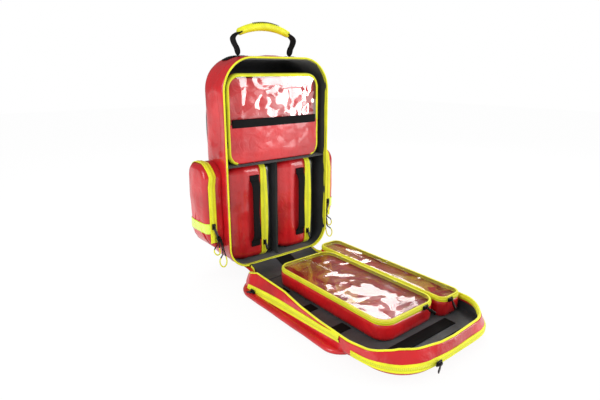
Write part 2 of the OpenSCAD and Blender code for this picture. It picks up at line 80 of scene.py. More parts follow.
class Tint(Enum):
    """Colours as sRGB hex values."""

    RED = "#D81B22"
    RED_SHADE = "#B21119"
    YELLOW = "#F0F016"
    YELLOW_SHADE = "#CFD010"
    YELLOW_COIL = "#E2E430"
    LINING = "#24272B"
    LINING_SHADE = "#14161A"
    WEBBING = "#0C0C0D"
    WEBBING_LIGHT = "#18181A"
    BLACK = "#08090A"
    GREY = "#32373E"
    FILM = "#F9F7F7"
    PAPER = "#E7E7E7"
    LIME = "#C9F000"
    LIME_LIGHT = "#EFFF7A"
    FLOOR = "#FFFFFF"


def linear(tint: Tint) -> tuple[float, float, float, float]:
    """Turns an sRGB hex colour to linear.

    Args:
        tint: The colour.

    Returns:
        Red, green, blue and alpha, linear.
    """
    parts = [int(tint.value[i : i + 2], 16) / 255 for i in (1, 3, 5)]
    bent = [c / 12.92 if c <= 0.04045 else ((c + 0.055) / 1.055) ** 2.4 for c in parts]
    return (bent[0], bent[1], bent[2], 1.0)


def add(tree: Tree, kind: str, inputs: dict | None = None, out: int | str = 0,
        **settings: Any) -> Socket | None:
    """Adds a shader node with its settings and links.

    Args:
        tree: The node tree.
        kind: The node's type name, without "ShaderNode".
        inputs: Socket name or number to a value, or to another node's output to link.
        out: The output that is wanted.
        settings: The node's own properties.

    Returns:
        The output's socket, or None for a node that has no outputs.
    """
    node = tree.nodes.new("ShaderNode" + kind)
    for key, value in settings.items():
        setattr(node, key, value)
    for key, value in (inputs or {}).items():
        if isinstance(value, Socket):
            tree.links.new(value, node.inputs[key])
        else:
            node.inputs[key].default_value = value
    return node.outputs[out] if node.outputs else None


@dataclass(frozen=True)
class Finish:
    """A procedural finish, which lies along its cloth or moulding in metres."""

    name: str = "plain"
    slot: str = "black_webbing"
    on_cad: bool = False

    def material(self) -> bpy.types.Material:
        """Returns the material, made once."""
        found = bpy.data.materials.get(self.name)
        if found:
            return found
        made = bpy.data.materials.new(self.name)
        made.use_nodes = True
        made.node_tree.nodes.clear()
        add(made.node_tree, "OutputMaterial", {"Surface": self.surface(made.node_tree)})
        return made

    def surface(self, tree: Tree) -> Socket:
        """Builds the surface. Args: tree: the node tree. Returns: the shader's socket."""
        raise NotImplementedError

    def place(self, tree: Tree) -> tuple[Socket, Socket, Socket]:
        """Finds where a point lies on the cloth.

        Args:
            tree: The node tree.

        Returns:
            Distance along, distance across and the point in space, in metres.
        """
        flat = add(tree, "TexCoord", out="Object" if self.on_cad else "UV")
        along, across = (add(tree, "SeparateXYZ", {0: flat}, out=k) for k in (0, 1))
        return along, across, add(tree, "TexCoord", out="Object")

    def threads(self, tree: Tree, along: Socket, pitch_mm: float) -> Socket:
        """Lays threads side by side, as a sine.

        Args:
            tree: The node tree.
            along: Distance over the threads, in metres.
            pitch_mm: Distance from thread to thread.

        Returns:
            A height from -1 to 1.
        """
        turned = add(tree, "Math", {0: along, 1: 2000 * math.pi / pitch_mm}, operation="MULTIPLY")
        return add(tree, "Math", {0: turned}, operation="SINE")

    def weave(self, tree: Tree, place: Sequence[Socket], pitch_mm: float, join: str = "MULTIPLY") -> Socket:
        """Crosses two sets of threads.

        Args:
            tree: The node tree.
            place: Distances along and across.
            pitch_mm: Distance from thread to thread.
            join: How the two heights are joined.

        Returns:
            A height from -1 to 1.
        """
        sets = {k: self.threads(tree, place[k], pitch_mm) for k in (0, 1)}
        return add(tree, "Math", sets, operation=join)

    def patches(self, tree: Tree, point: Socket, size_mm: float, reach: tuple[float, float] = (0.35, 0.65),
                to: tuple[float, float] = (0.0, 1.0), detail: float = 3.0) -> Socket:
        """Spreads soft patches over the surface.

        Args:
            tree: The node tree.
            point: Where.
            size_mm: Size of a patch.
            reach: The noise's values that are stretched.
            to: What they are stretched to.
            detail: How many finer layers the patches have.

        Returns:
            A value between the two of to.
        """
        noise = add(tree, "TexNoise", {"Vector": point, "Scale": 1000 / size_mm, "Detail": detail})
        return add(tree, "MapRange", {0: noise, 1: reach[0], 2: reach[1], 3: to[0], 4: to[1]})

    def relief(self, tree: Tree, *layers: tuple[Socket, float, float]) -> Socket:
        """Raises the surface by one layer on another.

        Args:
            tree: The node tree.
            layers: Height, real depth in millimetres and strength of each layer.

        Returns:
            The normal's socket.
        """
        under: dict[str, Socket] = {}
        for height, depth_mm, strength in layers:
            under = {"Normal": add(tree, "Bump", {"Height": height, "Distance": depth_mm / 1000,
                                                  "Strength": strength, **under})}
        return under["Normal"]


@dataclass(frozen=True)
class Tinted(Finish):
    """A finish of two tints."""

    base: Tint = Tint.BLACK
    shade: Tint = Tint.WEBBING

    def mottled(self, tree: Tree, share: Socket, inputs: dict[str, Any]) -> Socket:
        """Shades a surface of the two tints.

        Args:
            tree: The node tree.
            share: The second tint's share.
            inputs: The shader's other inputs.

        Returns:
            The shader's socket.
        """
        tints = {6: linear(self.base), 7: linear(self.shade)}
        colour = add(tree, "Mix", {0: share, **tints}, 2, data_type="RGBA")
        return add(tree, "BsdfPrincipled", {"Base Color": colour, **inputs})


@dataclass(frozen=True)
class Tarpaulin(Tinted):
    """PVC-coated polyester tarpaulin, calendered: a wet-looking coat over a fine square scrim."""

    name: str = "coated_tarpaulin"
    slot: str = "red_tarpaulin"
    base: Tint = Tint.RED
    shade: Tint = Tint.RED_SHADE
    scrim_mm: float = 2.6  # the real threads lie 1 mm apart, drawn coarser so that they show
    crease_mm: float = 34.0
    cloud_mm: float = 90.0

    def surface(self, tree: Tree) -> Socket:
        """Builds the surface.

        Args:
            tree: The node tree.

        Returns:
            The shader's socket.
        """
        *flat, point = self.place(tree)
        scrim = self.weave(tree, flat, self.scrim_mm)
        cloud = self.patches(tree, point, self.cloud_mm)
        crease = add(tree, "TexNoise", {"Vector": point, "Scale": 1000 / self.crease_mm, "Detail": 3,
                                        "Distortion": 1.4})
        # The coat is what gives the long pale sheens along every bend.
        return self.mottled(tree, cloud, {
            "Roughness": self.patches(tree, point, 45, (0.3, 0.7), (0.3, 0.42), 2),
            "Normal": self.relief(tree, (crease, 4.5, 0.5), (scrim, 0.06, 0.35)),
            "IOR": 1.5, "Coat Weight": 0.7, "Coat Roughness": 0.13, "Coat IOR": 1.5})


@dataclass(frozen=True)
class ZipTape(Tinted):
    """Woven polyester zip tape: fluorescent yellow, ribbed along its length and matt."""

    name: str = "woven_zip_tape"
    slot: str = "yellow_zip_tape"
    base: Tint = Tint.YELLOW
    shade: Tint = Tint.YELLOW_SHADE
    rib_mm: float = 3.0  # the real ribs lie 1.2 mm apart, drawn coarser so that they show
    pick_mm: float = 1.8  # the crossing threads, drawn twice as coarse

    def surface(self, tree: Tree) -> Socket:
        """Builds the surface.

        Args:
            tree: The node tree.

        Returns:
            The shader's socket.
        """
        along, across, point = self.place(tree)
        share = self.patches(tree, point, 30, (0.35, 0.75), (0.0, 0.7))
        return self.mottled(tree, share, {
            "Roughness": 0.62, "Sheen Weight": 0.25, "Sheen Roughness": 0.4,
            "Normal": self.relief(tree, (self.threads(tree, across, self.rib_mm), 0.22, 0.6),
                                  (self.threads(tree, along, self.pick_mm), 0.12, 0.4))})


@dataclass(frozen=True)
class ZipCoil(Tinted):
    """Nylon spiral zip: teeth moulded in the tape's yellow, with painted shade in the gaps between them."""

    name: str = "nylon_zip_coil"
    base: Tint = Tint.YELLOW_SHADE
    shade: Tint = Tint.YELLOW_COIL
    tooth_mm: float = 3.2  # real teeth lie 1.5 mm apart, drawn coarser so that they show

    def surface(self, tree: Tree) -> Socket:
        """Builds the surface.

        Args:
            tree: The node tree.

        Returns:
            The shader's socket.
        """
        along, _, _ = self.place(tree)
        tooth = add(tree, "MapRange", {0: self.threads(tree, along, self.tooth_mm), 1: -1, 2: 1})
        # The gaps between the teeth are painted darker yellow as shade, and the crests lighter.
        return self.mottled(tree, tooth, {
            "Roughness": 0.4, "Normal": self.relief(tree, (tooth, 0.5, 0.8))})


@dataclass(frozen=True)
class PackCloth(Tinted):
    """Coated nylon pack cloth, woven with a square rip-stop grid: dark, with a faint sheen on its folds."""

    name: str = "nylon_pack_cloth"
    slot: str = "dark_lining"
    base: Tint = Tint.LINING
    shade: Tint = Tint.LINING_SHADE
    thread_mm: float = 2.0  # real threads lie 0.4 mm apart, drawn coarser so that they show
    grid_mm: float = 6.0
    fold_mm: float = 34.0

    def surface(self, tree: Tree) -> Socket:
        """Builds the surface.

        Args:
            tree: The node tree.

        Returns:
            The shader's socket.
        """
        *flat, point = self.place(tree)
        weave = self.weave(tree, flat, self.thread_mm)
        line = add(tree, "MapRange", {0: self.weave(tree, flat, self.grid_mm, "MAXIMUM"), 1: 0.93, 2: 1.0})
        cloth = add(tree, "Math", {0: weave, 1: line}, operation="ADD")
        fold = add(tree, "TexNoise", {"Vector": point, "Scale": 1000 / self.fold_mm, "Detail": 3,
                                      "Distortion": 0.4})
        share = self.patches(tree, point, 70)
        return self.mottled(tree, share, {
            "Roughness": 0.48, "Sheen Weight": 0.3, "Sheen Roughness": 0.5,
            "Normal": self.relief(tree, (fold, 2.5, 0.5), (cloth, 0.08, 0.5))})


@dataclass(frozen=True)
class WovenWebbing(Tinted):
    """Woven polyester webbing: black, ribbed across in a herringbone, with painted highlight on the ribs."""

    name: str = "woven_webbing"
    base: Tint = Tint.WEBBING
    shade: Tint = Tint.WEBBING_LIGHT
    rib_mm: float = 2.4
    chevron_mm: float = 9.0
    edge_mm: float = 3.2

    def surface(self, tree: Tree) -> Socket:
        """Builds the surface.

        Args:
            tree: The node tree.

        Returns:
            The shader's socket.
        """
        along, across, point = self.place(tree)
        chevron = add(tree, "Math", {0: self.threads(tree, across, self.chevron_mm), 1: 0.0008},
                      operation="MULTIPLY")
        rib = self.threads(tree, add(tree, "Math", {0: along, 1: chevron}, operation="ADD"), self.rib_mm)
        dust = add(tree, "TexNoise", {"Vector": point, "Scale": 50, "Detail": 2})
        # Each rib's crest is painted lighter as a highlight, mixed with random dust.
        rib_highlight_and_dust = add(tree, "Math", {0: rib, 1: dust}, operation="ADD")
        share = add(tree, "MapRange", {0: rib_highlight_and_dust, 1: -0.6, 2: 1.5})
        return self.mottled(tree, share, {
            "Roughness": 0.8, "Specular IOR Level": 0.2,
            "Normal": self.relief(tree, (rib, 0.25, 0.7),
                                  (self.threads(tree, across, self.edge_mm), 0.12, 0.5))})


@dataclass(frozen=True)
class SpacerMesh(Tinted):
    """Knitted polyester spacer mesh over foam: round holes in rows, painted darker inside as shade."""

    name: str = "knitted_spacer_mesh"
    slot: str = "padded_mesh"
    shade: Tint = Tint.WEBBING_LIGHT
    hole_mm: float = 4.5

    def surface(self, tree: Tree) -> Socket:
        """Builds the surface.

        Args:
            tree: The node tree.

        Returns:
            The shader's socket.
        """
        _, _, point = self.place(tree)
        cells = add(tree, "TexVoronoi", {"Vector": point, "Scale": 1000 / self.hole_mm, "Randomness": 0.15})
        # The middle of each hole is painted darker as shade, and the knit between the holes lighter.
        hole = add(tree, "MapRange", {0: cells, 1: 0.15, 2: 0.5})
        soft = add(tree, "TexNoise", {"Vector": point, "Scale": 1000 / 30, "Detail": 2})
        return self.mottled(tree, hole, {
            "Roughness": 0.85, "Sheen Weight": 0.3,
            "Normal": self.relief(tree, (soft, 1.5, 0.4), (hole, 0.9, 0.8))})


@dataclass(frozen=True)
class Acetal(Tinted):
    """Moulded acetal: black, satin, with a faint spark-eroded grain."""

    name: str = "moulded_acetal"
    slot: str = "black_plastic"
    on_cad: bool = True
    grain_mm: float = 1.2
    wear_mm: float = 14.0

    def surface(self, tree: Tree) -> Socket:
        """Builds the surface.

        Args:
            tree: The node tree.

        Returns:
            The shader's socket.
        """
        _, _, point = self.place(tree)
        grain = add(tree, "TexNoise", {"Vector": point, "Scale": 1000 / self.grain_mm, "Detail": 2})
        wear = self.patches(tree, point, self.wear_mm, (0.4, 0.7))
        return self.mottled(tree, wear, {
            "Roughness": self.patches(tree, point, self.wear_mm, (0.3, 0.7), (0.28, 0.42)),
            "Normal": self.relief(tree, (grain, 0.08, 0.4))})


@dataclass(frozen=True)
class ClearFilm(Finish):
    """Plasticised clear PVC film, cast: mirror-like at its wrinkles and see-through between them."""

    name: str = "clear_pvc_film"
    slot: str = "clear_film"
    ripple_mm: float = 80.0
    ior: float = 1.5

    def surface(self, tree: Tree) -> Socket:
        """Builds the surface.

        Args:
            tree: The node tree.

        Returns:
            The shader's socket.
        """
        _, _, point = self.place(tree)
        ripple = add(tree, "TexNoise", {"Vector": point, "Scale": 1000 / self.ripple_mm, "Detail": 0.5,
                                        "Distortion": 0.9})
        # Both faces of the film reflect, so it shows nearly twice what one face would.
        share = add(tree, "MapRange", {0: add(tree, "Fresnel", {"IOR": self.ior}), 1: 0.0, 2: 0.4, 3: 0.03,
                                       4: 0.3})
        clear = add(tree, "BsdfTransparent", {"Color": linear(Tint.FILM)})
        gloss = add(tree, "BsdfGlossy", {"Color": linear(Tint.FLOOR), "Roughness": 0.05,
                                         "Normal": self.relief(tree, (ripple, 9.0, 0.6))})
        return add(tree, "MixShader", {0: share, 1: clear, 2: gloss})


@dataclass(frozen=True)
class GripRubber(Tinted):
    """Thermoplastic rubber sleeve, moulded: yellow, dull, lightly ribbed round."""

    name: str = "moulded_grip_rubber"
    slot: str = "yellow_rubber"
    base: Tint = Tint.YELLOW
    shade: Tint = Tint.YELLOW_SHADE
    rib_mm: float = 5.0
    grain_mm: float = 3.0

    def surface(self, tree: Tree) -> Socket:
        """Builds the surface.

        Args:
            tree: The node tree.

        Returns:
            The shader's socket.
        """
        along, _, point = self.place(tree)
        share = self.patches(tree, point, 22, (0.3, 0.8))
        grain = add(tree, "TexNoise", {"Vector": point, "Scale": 1000 / self.grain_mm, "Detail": 2})
        return self.mottled(tree, share, {
            "Roughness": 0.5,
            "Normal": self.relief(tree, (self.threads(tree, along, self.rib_mm), 0.12, 0.3),
                                  (grain, 0.15, 0.4))})


@dataclass(frozen=True)
class PrismTape(Tinted):
    """Prismatic reflective tape, embossed: lime yellow with a diamond grid that glints."""

    name: str = "prismatic_reflective_tape"
    slot: str = "reflective_tape"
    base: Tint = Tint.LIME
    shade: Tint = Tint.LIME_LIGHT
    cell_mm: float = 6.0

    def surface(self, tree: Tree) -> Socket:
        """Builds the surface.

        Args:
            tree: The node tree.

        Returns:
            The shader's socket.
        """
        along, across, _ = self.place(tree)
        slants = [add(tree, "Math", {0: along, 1: across}, operation=way) for way in ("ADD", "SUBTRACT")]
        cell = add(tree, "MapRange", {0: self.weave(tree, slants, self.cell_mm), 1: -1, 2: 1})
        return self.mottled(tree, cell, {
            "Roughness": 0.22, "Coat Weight": 0.6, "Coat Roughness": 0.08,
            "Normal": self.relief(tree, (cell, 0.2, 0.5))})


@dataclass(frozen=True)
class BraidedCord(Tinted):
    """Braided polyester cord or twisted sewing thread."""

    name: str = "braided_cord"
    base: Tint = Tint.WEBBING
    shade: Tint = Tint.BLACK
    braid_mm: float = 1.8

    def surface(self, tree: Tree) -> Socket:
        """Builds the surface.

        Args:
            tree: The node tree.

        Returns:
            The shader's socket.
        """
        along, across, _ = self.place(tree)
        slant = add(tree, "Math", {0: along, 1: across}, operation="ADD")
        braid = self.threads(tree, slant, self.braid_mm)
        share = add(tree, "MapRange", {0: braid, 1: -1, 2: 1})
        return self.mottled(tree, share, {
            "Roughness": 0.6, "Normal": self.relief(tree, (braid, 0.2, 0.6))})


@dataclass(frozen=True)
class GlossSide(Tinted):
    """Black coated cloth under a clear glossy film: near black, with white glints where it buckles."""

    name: str = "black_film_laminate"
    slot: str = "clear_film"
    shade: Tint = Tint.LINING_SHADE
    buckle_mm: float = 24.0

    def surface(self, tree: Tree) -> Socket:
        """Builds the surface.

        Args:
            tree: The node tree.

        Returns:
            The shader's socket.
        """
        _, _, point = self.place(tree)
        buckle = add(tree, "TexNoise", {"Vector": point, "Scale": 1000 / self.buckle_mm, "Detail": 3,
                                        "Distortion": 1.0})
        share = add(tree, "TexNoise", {"Vector": point, "Scale": 1000 / 60, "Detail": 2})
        return self.mottled(tree, share, {
            "Roughness": 0.3, "Coat Weight": 1.0, "Coat Roughness": 0.04,
            "Normal": self.relief(tree, (buckle, 2.6, 0.6))})


RED = Tarpaulin()
TAPE = ZipTape()
COIL = ZipCoil()
CLOTH = PackCloth()
GREY_CLOTH = PackCloth(name="grey_pack_cloth", base=Tint.GREY, shade=Tint.LINING)
WEBBING = WovenWebbing()
MESH = SpacerMesh()
ACETAL = Acetal()
GREY_ACETAL = Acetal(name="grey_moulded_acetal", base=Tint.GREY, shade=Tint.LINING, slot="grey_puller")
FILM = ClearFilm()
GLOSS = GlossSide()
GRIP = GripRubber()
PRISM = PrismTape()
BLACK_CORD = BraidedCord(slot="pull_cord")
SLEEVE = BraidedCord(name="soft_cord_sleeve", base=Tint.YELLOW, shade=Tint.YELLOW_SHADE)
RED_THREAD = BraidedCord(name="red_sewing_thread", base=Tint.RED_SHADE, shade=Tint.RED, slot="red_tarpaulin")
THREAD = BraidedCord(name="sewing_thread", base=Tint.YELLOW_SHADE, shade=Tint.YELLOW, slot="reflective_tape")
BLACK_THREAD = BraidedCord(name="black_sewing_thread")


def unit(vectors: Points) -> Points:
    """Scales vectors to length one. Args: vectors: any array of them. Returns: the same shape."""
    return vectors / np.maximum(np.linalg.norm(vectors, axis=-1, keepdims=True), 1e-9)


TABLE_SIZE = 4096  # values that the noise is drawn from
SCATTER = (73856093, 19349663, 83492791)  # primes that send neighbouring cells to distant values


def soft_noise(points: Points, size_mm: float | Sequence[float], seed: int) -> Points:
    """Makes smooth noise that is the same on each run.

    Args:
        points: Where, in millimetres, with the last axis of three.
        size_mm: Size of a feature, or one size for each axis.
        seed: Which noise.

    Returns:
        Values from -1 to 1.
    """
    table = np.random.default_rng(seed).random(TABLE_SIZE) * 2 - 1
    p = points / np.asarray(size_mm, float) + 100
    cell = np.floor(p).astype(np.int64)
    part = p - cell
    part = part * part * (3 - 2 * part)
    total = np.zeros(points.shape[:-1])
    for corner in np.ndindex(2, 2, 2):
        x, y, z = (cell[..., k] + corner[k] for k in range(3))
        near_x, near_y, near_z = (np.abs(1 - corner[k] - part[..., k]) for k in range(3))
        key = x * SCATTER[0] ^ y * SCATTER[1] ^ z * SCATTER[2]
        total += table[key & (TABLE_SIZE - 1)] * (near_x * near_y * near_z)
    return total


def creases(points: Points, size_mm: float | Sequence[float], seed: int) -> Points:
    """Makes soft folds with a few sharper ridges. Args: as soft_noise. Returns: about -1 to 1."""
    size = np.asarray(size_mm, float)
    ridge = 1 - 2 * np.abs(soft_noise(points, size * 0.8, seed + 1))
    return 0.6 * soft_noise(points, size, seed) + 0.4 * ridge + 0.25 * soft_noise(points, size * 0.4,
                                                                                  seed + 2)


@dataclass(frozen=True)
class Outline:
    """A rounded rectangle that stands on its foot, centred on x = 0."""

    width: float
    height: float
    low_r: float
    high_r: float
    count: int = 300

    def sample(self) -> tuple[Points, Points]:
        """Returns even points, anticlockwise from the middle of the foot, and their outward normals."""
        half, points, normals = self.width / 2, [(0.0, 0.0)], [(0.0, -1.0)]
        corners = ((half, 0.0, self.low_r, -90), (half, self.height, self.high_r, 0),
                   (-half, self.height, self.high_r, 90), (-half, 0.0, self.low_r, 180))
        for x, y, r, start in corners:
            cx, cy = x - math.copysign(r, x), y + (r if y == 0 else -r)
            for step in range(25):
                a = math.radians(start + 90 * step / 24)
                points.append((cx + r * math.cos(a), cy + r * math.sin(a)))
                normals.append((math.cos(a), math.sin(a)))
        points.append((0.0, 0.0))
        normals.append((0.0, -1.0))
        p, n = np.array(points), np.array(normals)
        run = np.concatenate([[0], np.cumsum(np.linalg.norm(np.diff(p, axis=0), axis=1))])
        at = np.linspace(0, run[-1], self.count, endpoint=False)
        p = np.stack([np.interp(at, run, p[:, k]) for k in (0, 1)], 1)
        n = np.stack([np.interp(at, run, n[:, k]) for k in (0, 1)], 1)
        return p, unit(n)


@dataclass(frozen=True)
class Plane:
    """A plane that an outline is drawn on: right and up lie in it, and out stands on it."""

    origin: tuple[float, float, float]
    right: tuple[float, float, float]
    up: tuple[float, float, float]
    out: tuple[float, float, float]

    def place(self, flat: Points, out: float | Points = 0.0) -> Points:
        """Moves flat points into space.

        Args:
            flat: (..., 2) points.
            out: Distance off the plane.

        Returns:
            Points.
        """
        level = np.asarray(out, float)[..., None] if np.ndim(out) else out
        across, along = flat[..., :1] * np.array(self.right), flat[..., 1:] * np.array(self.up)
        return np.array(self.origin) + across + along + level * np.array(self.out)

    def turn(self, flat: Points) -> Points:
        """Turns flat directions into space. Args: flat: (..., 2) directions. Returns: directions."""
        return flat[..., :1] * np.array(self.right) + flat[..., 1:] * np.array(self.up)


def rings(plane: Plane, outline: Outline, profile: Profile) -> Points:
    """Stacks copies of an outline.

    Args:
        plane: The plane of the outline.
        outline: The outline.
        profile: Inset and distance off the plane of each ring.

    Returns:
        Points, one row for each ring.
    """
    points, normals = outline.sample()
    return np.stack([plane.place(points - normals * inset, out) for inset, out in profile])


def towards_middle(ring: Points, steps: int, depth: float = 0.0, out: Sequence[float] = (0, 0, 0)) -> Points:
    """Closes a ring with smaller and smaller ones.

    Args:
        ring: The ring's points.
        steps: How many rings.
        depth: How far the middle bulges along out.
        out: The bulge's direction.

    Returns:
        The rings, without the first.
    """
    middle = ring.mean(0)
    share = np.linspace(0, 1, steps + 1)[1:, None, None] * 0.98
    return ring + (middle - ring) * share + np.array(out, float) * depth * np.sin(share * math.pi / 2)


def smooth_path(points: Sequence[Sequence[float]], count: int, closed: bool = False) -> Points:
    """Runs a smooth line through points.

    Args:
        points: The points.
        count: How many points to give back.
        closed: Whether the line joins its own start.

    Returns:
        Evenly spaced points.
    """
    p = np.asarray(points, float)
    ends = (p[-1:], p[:1], p[1:2]) if closed else (2 * p[:1] - p[1:2], 2 * p[-1:] - p[-2:-1], p[:0])
    q = np.concatenate([ends[0], p, ends[1], ends[2]])
    fine = []
    for i in range(1, len(q) - 2):
        a, b, c, d = q[i - 1], q[i], q[i + 1], q[i + 2]
        t = np.linspace(0, 1, 24, endpoint=False)[:, None]
        fine.append(0.5 * (2 * b + (c - a) * t + (2 * a - 5 * b + 4 * c - d) * t**2
                           + (3 * b - a - 3 * c + d) * t**3))
    fine.append(q[-2:-1])
    line = np.concatenate(fine)
    run = np.concatenate([[0], np.cumsum(np.linalg.norm(np.diff(line, axis=0), axis=1))])
    at = np.linspace(0, run[-1], count, endpoint=not closed)
    return np.stack([np.interp(at, run, line[:, k]) for k in range(line.shape[1])], 1)


def tube(path: Points, radius: float | Points, sides: int = 10, closed: bool = False) -> Points:
    """Sweeps a circle along a path.

    Args:
        path: The path's points.
        radius: One radius, or one for each point.
        sides: Points round the tube.
        closed: Whether the path joins its own start.

    Returns:
        Points, one row for each point of the path.
    """
    along = np.roll(path, -1, 0) - np.roll(path, 1, 0) if closed else np.gradient(path, axis=0)
    along = unit(along)
    side = unit(np.cross(along[0], (0.31, 0.52, 0.79)))
    sides_at = []
    for direction in along:
        side = unit(side - direction * np.dot(side, direction))
        sides_at.append(side)
    u = np.array(sides_at)
    v = np.cross(along, u)
    a = np.linspace(0, 2 * math.pi, sides, endpoint=False)[None, :, None]
    size = np.broadcast_to(np.asarray(radius, float), len(path))[:, None, None]
    return path[:, None] + size * (np.cos(a) * u[:, None] + np.sin(a) * v[:, None])


def ribbon(path: Points, across: Points, width: float, thick: float) -> Points:
    """Sweeps a flat strap with rounded edges along a path.

    Args:
        path: The path's points.
        across: Direction of the strap's width, one or one for each point.
        width: Its width.
        thick: Its thickness.

    Returns:
        Points, one row for each point of the path.
    """
    along = unit(np.gradient(path, axis=0))
    wide = unit(np.broadcast_to(np.asarray(across, float), path.shape))
    up = unit(np.cross(along, wide))
    h, t = width / 2, thick / 2
    section = [(-h, 0), (-h + t * 0.5, t), (-h * 0.5, t), (0, t * 1.05), (h * 0.5, t), (h - t * 0.5, t),
               (h, 0), (h - t * 0.5, -t), (h * 0.5, -t), (0, -t), (-h * 0.5, -t), (-h + t * 0.5, -t)]
    return np.stack([path + wide * a + up * b for a, b in section], 1)


def offsets(points: Points, closed: bool, outward: Sequence[float] | None = None) -> Points:
    """Finds the normals of a grid of points.

    Args:
        points: Rows of points.
        closed: Whether each row joins its own start.
        outward: A direction the normals should follow; without it they point away from the middle.

    Returns:
        A normal for each point.
    """
    du = np.roll(points, -1, 1) - np.roll(points, 1, 1) if closed else np.gradient(points, axis=1)
    normal = unit(np.cross(du, np.gradient(points, axis=0)))
    away = points - points.reshape(-1, 3).mean(0) if outward is None else np.array(outward, float)
    return normal if (normal * away).sum() > 0 else -normal


@dataclass
class Piece:
    """One visible piece: its name, finish and body, the CAD nodes it stands for, and more finishes."""

    name: str
    finish: Finish
    body: str
    nodes: Sequence[str] = ()
    more: Sequence[Finish] = ()
    slot: str = ""

    def from_grid(self, points: Points, closed: bool = False, wrap_rows: bool = False, caps: bool = False,
                  thick: float = 0.0, pick: Picker | None = None) -> bpy.types.Object:
        """Makes the piece from rows of points.

        Args:
            points: Rows of points in millimetres.
            closed: Whether each row joins its own start.
            wrap_rows: Whether the last row joins the first.
            caps: Whether the first and last rows are filled.
            thick: Thickness given to a sheet, in millimetres.
            pick: Chooses the finish's number from row and column.

        Returns:
            The object.
        """
        return self.from_grids([points], closed, wrap_rows, caps, thick, pick)

    def from_grids(self, grids: Sequence[Points], closed: bool = False, wrap_rows: bool = False,
                   caps: bool = False, thick: float = 0.0, pick: Picker | None = None) -> bpy.types.Object:
        """Makes the piece from several grids of points, as from_grid does from one."""
        verts, faces, uvs, picks, base = [], [], [], [], 0
        for grid in grids:
            rows, cols = grid.shape[:2]
            verts.append(grid.reshape(-1, 3))
            step_u = np.linalg.norm(np.roll(grid, -1, 1) - grid, axis=2).mean(0)
            step_v = np.linalg.norm(np.roll(grid, -1, 0) - grid, axis=2).mean(1)
            u = np.concatenate([[0], np.cumsum(step_u)]) / 1000
            v = np.concatenate([[0], np.cumsum(step_v)]) / 1000
            for i in range(rows if wrap_rows else rows - 1):
                for j in range(cols if closed else cols - 1):
                    k, m = (i + 1) % rows, (j + 1) % cols
                    faces.append((base + i * cols + j, base + i * cols + m, base + k * cols + m,
                                  base + k * cols + j))
                    uvs += [(u[j], v[i]), (u[j + 1], v[i]), (u[j + 1], v[i + 1]), (u[j], v[i + 1])]
                    picks.append(pick(i, j) if pick else 0)
            if caps:
                for row, order in ((0, range(cols - 1, -1, -1)), (rows - 1, range(cols))):
                    faces.append(tuple(base + row * cols + j for j in order))
                    spot = grid[row] / 1000
                    spread = np.argsort(np.ptp(spot, axis=0))[::-1][:2]
                    uvs += [tuple(spot[j][spread]) for j in order]
                    picks.append(pick(row, 0) if pick else 0)
            base += rows * cols
        return self.finish_mesh(np.concatenate(verts), faces, uvs, picks, thick)

    def solid(self, *grids: Points) -> bpy.types.Object:
        """Makes the piece from closed forms with filled ends.

        Args:
            grids: Their points.

        Returns:
            The object.
        """
        return self.from_grids(grids, closed=True, caps=True)

    def finish_mesh(self, verts: Points, faces: list, uvs: list, picks: list,
                    thick: float) -> bpy.types.Object:
        """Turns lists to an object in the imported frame, dresses it and puts it on its body."""
        mesh = bpy.data.meshes.new(self.name)
        placed = (verts + (0.0, OPENING_Y, 0.0)) / 1000
        mesh.from_pydata([tuple(v) for v in placed], [], faces)
        layer = mesh.uv_layers.new(name="cloth")
        layer.data.foreach_set("uv", np.array(uvs, np.float32).ravel())
        for finish in (self.finish, *self.more):
            mesh.materials.append(finish.material())
        mesh.polygons.foreach_set("material_index", np.array(picks, np.int32))
        mesh.polygons.foreach_set("use_smooth", np.ones(len(faces), bool))
        mesh.update()
        obj = bpy.data.objects.new(self.name, mesh)
        bpy.context.scene.collection.objects.link(obj)
        turn_outward(mesh)
        if thick:
            solid = obj.modifiers.new("thickness", "SOLIDIFY")
            solid.thickness, solid.offset, solid.use_even_offset = thick / 1000, 0.0, False
        self.settle(obj)
        return obj

    def settle(self, obj: bpy.types.Object) -> None:
        """Puts an object on its body and the nodes it stands for.

        Args:
            obj: The object.
        """
        if self.nodes:
            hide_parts(*self.nodes)
        if self.body:
            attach(obj, self.body)
        log.info("%s: %d faces on %s", self.name, len(obj.data.polygons), self.body or "two bodies")


def turn_outward(mesh: bpy.types.Mesh) -> None:
    """Makes a mesh's faces agree on their outer side.

    Args:
        mesh: The mesh.
    """
    work = bmesh.new()
    work.from_mesh(mesh)
    bmesh.ops.recalc_face_normals(work, faces=work.faces)
    work.to_mesh(mesh)
    work.free()


def stitch_line(path: Points, normal: Points, pitch: float = 5.0, length: float = 3.4,
                radius: float = 0.45) -> list[Points]:
    """Lays separate stitches along a path.

    Args:
        path: The path's points, on the surface.
        normal: The surface's normal, one or one for each point.
        pitch: Distance between stitches.
        length: Length of a stitch.
        radius: Thickness of the thread, halved.

    Returns:
        A small grid for each stitch.
    """
    run = np.concatenate([[0], np.cumsum(np.linalg.norm(np.diff(path, axis=0), axis=1))])
    up = unit(np.broadcast_to(np.asarray(normal, float), path.shape))
    made = []
    for start in np.arange(pitch / 2, run[-1] - length, pitch):
        at = start + np.linspace(0, length, 5)
        line = np.stack([np.interp(at, run, path[:, k]) for k in range(3)], 1)
        lift = np.stack([np.interp(at, run, up[:, k]) for k in range(3)], 1)
        line += lift * (radius * np.array([-0.4, 0.7, 0.9, 0.7, -0.4]))[:, None]
        made.append(tube(line, radius * np.array([0.5, 1, 1, 1, 0.5]), 5))
    return made


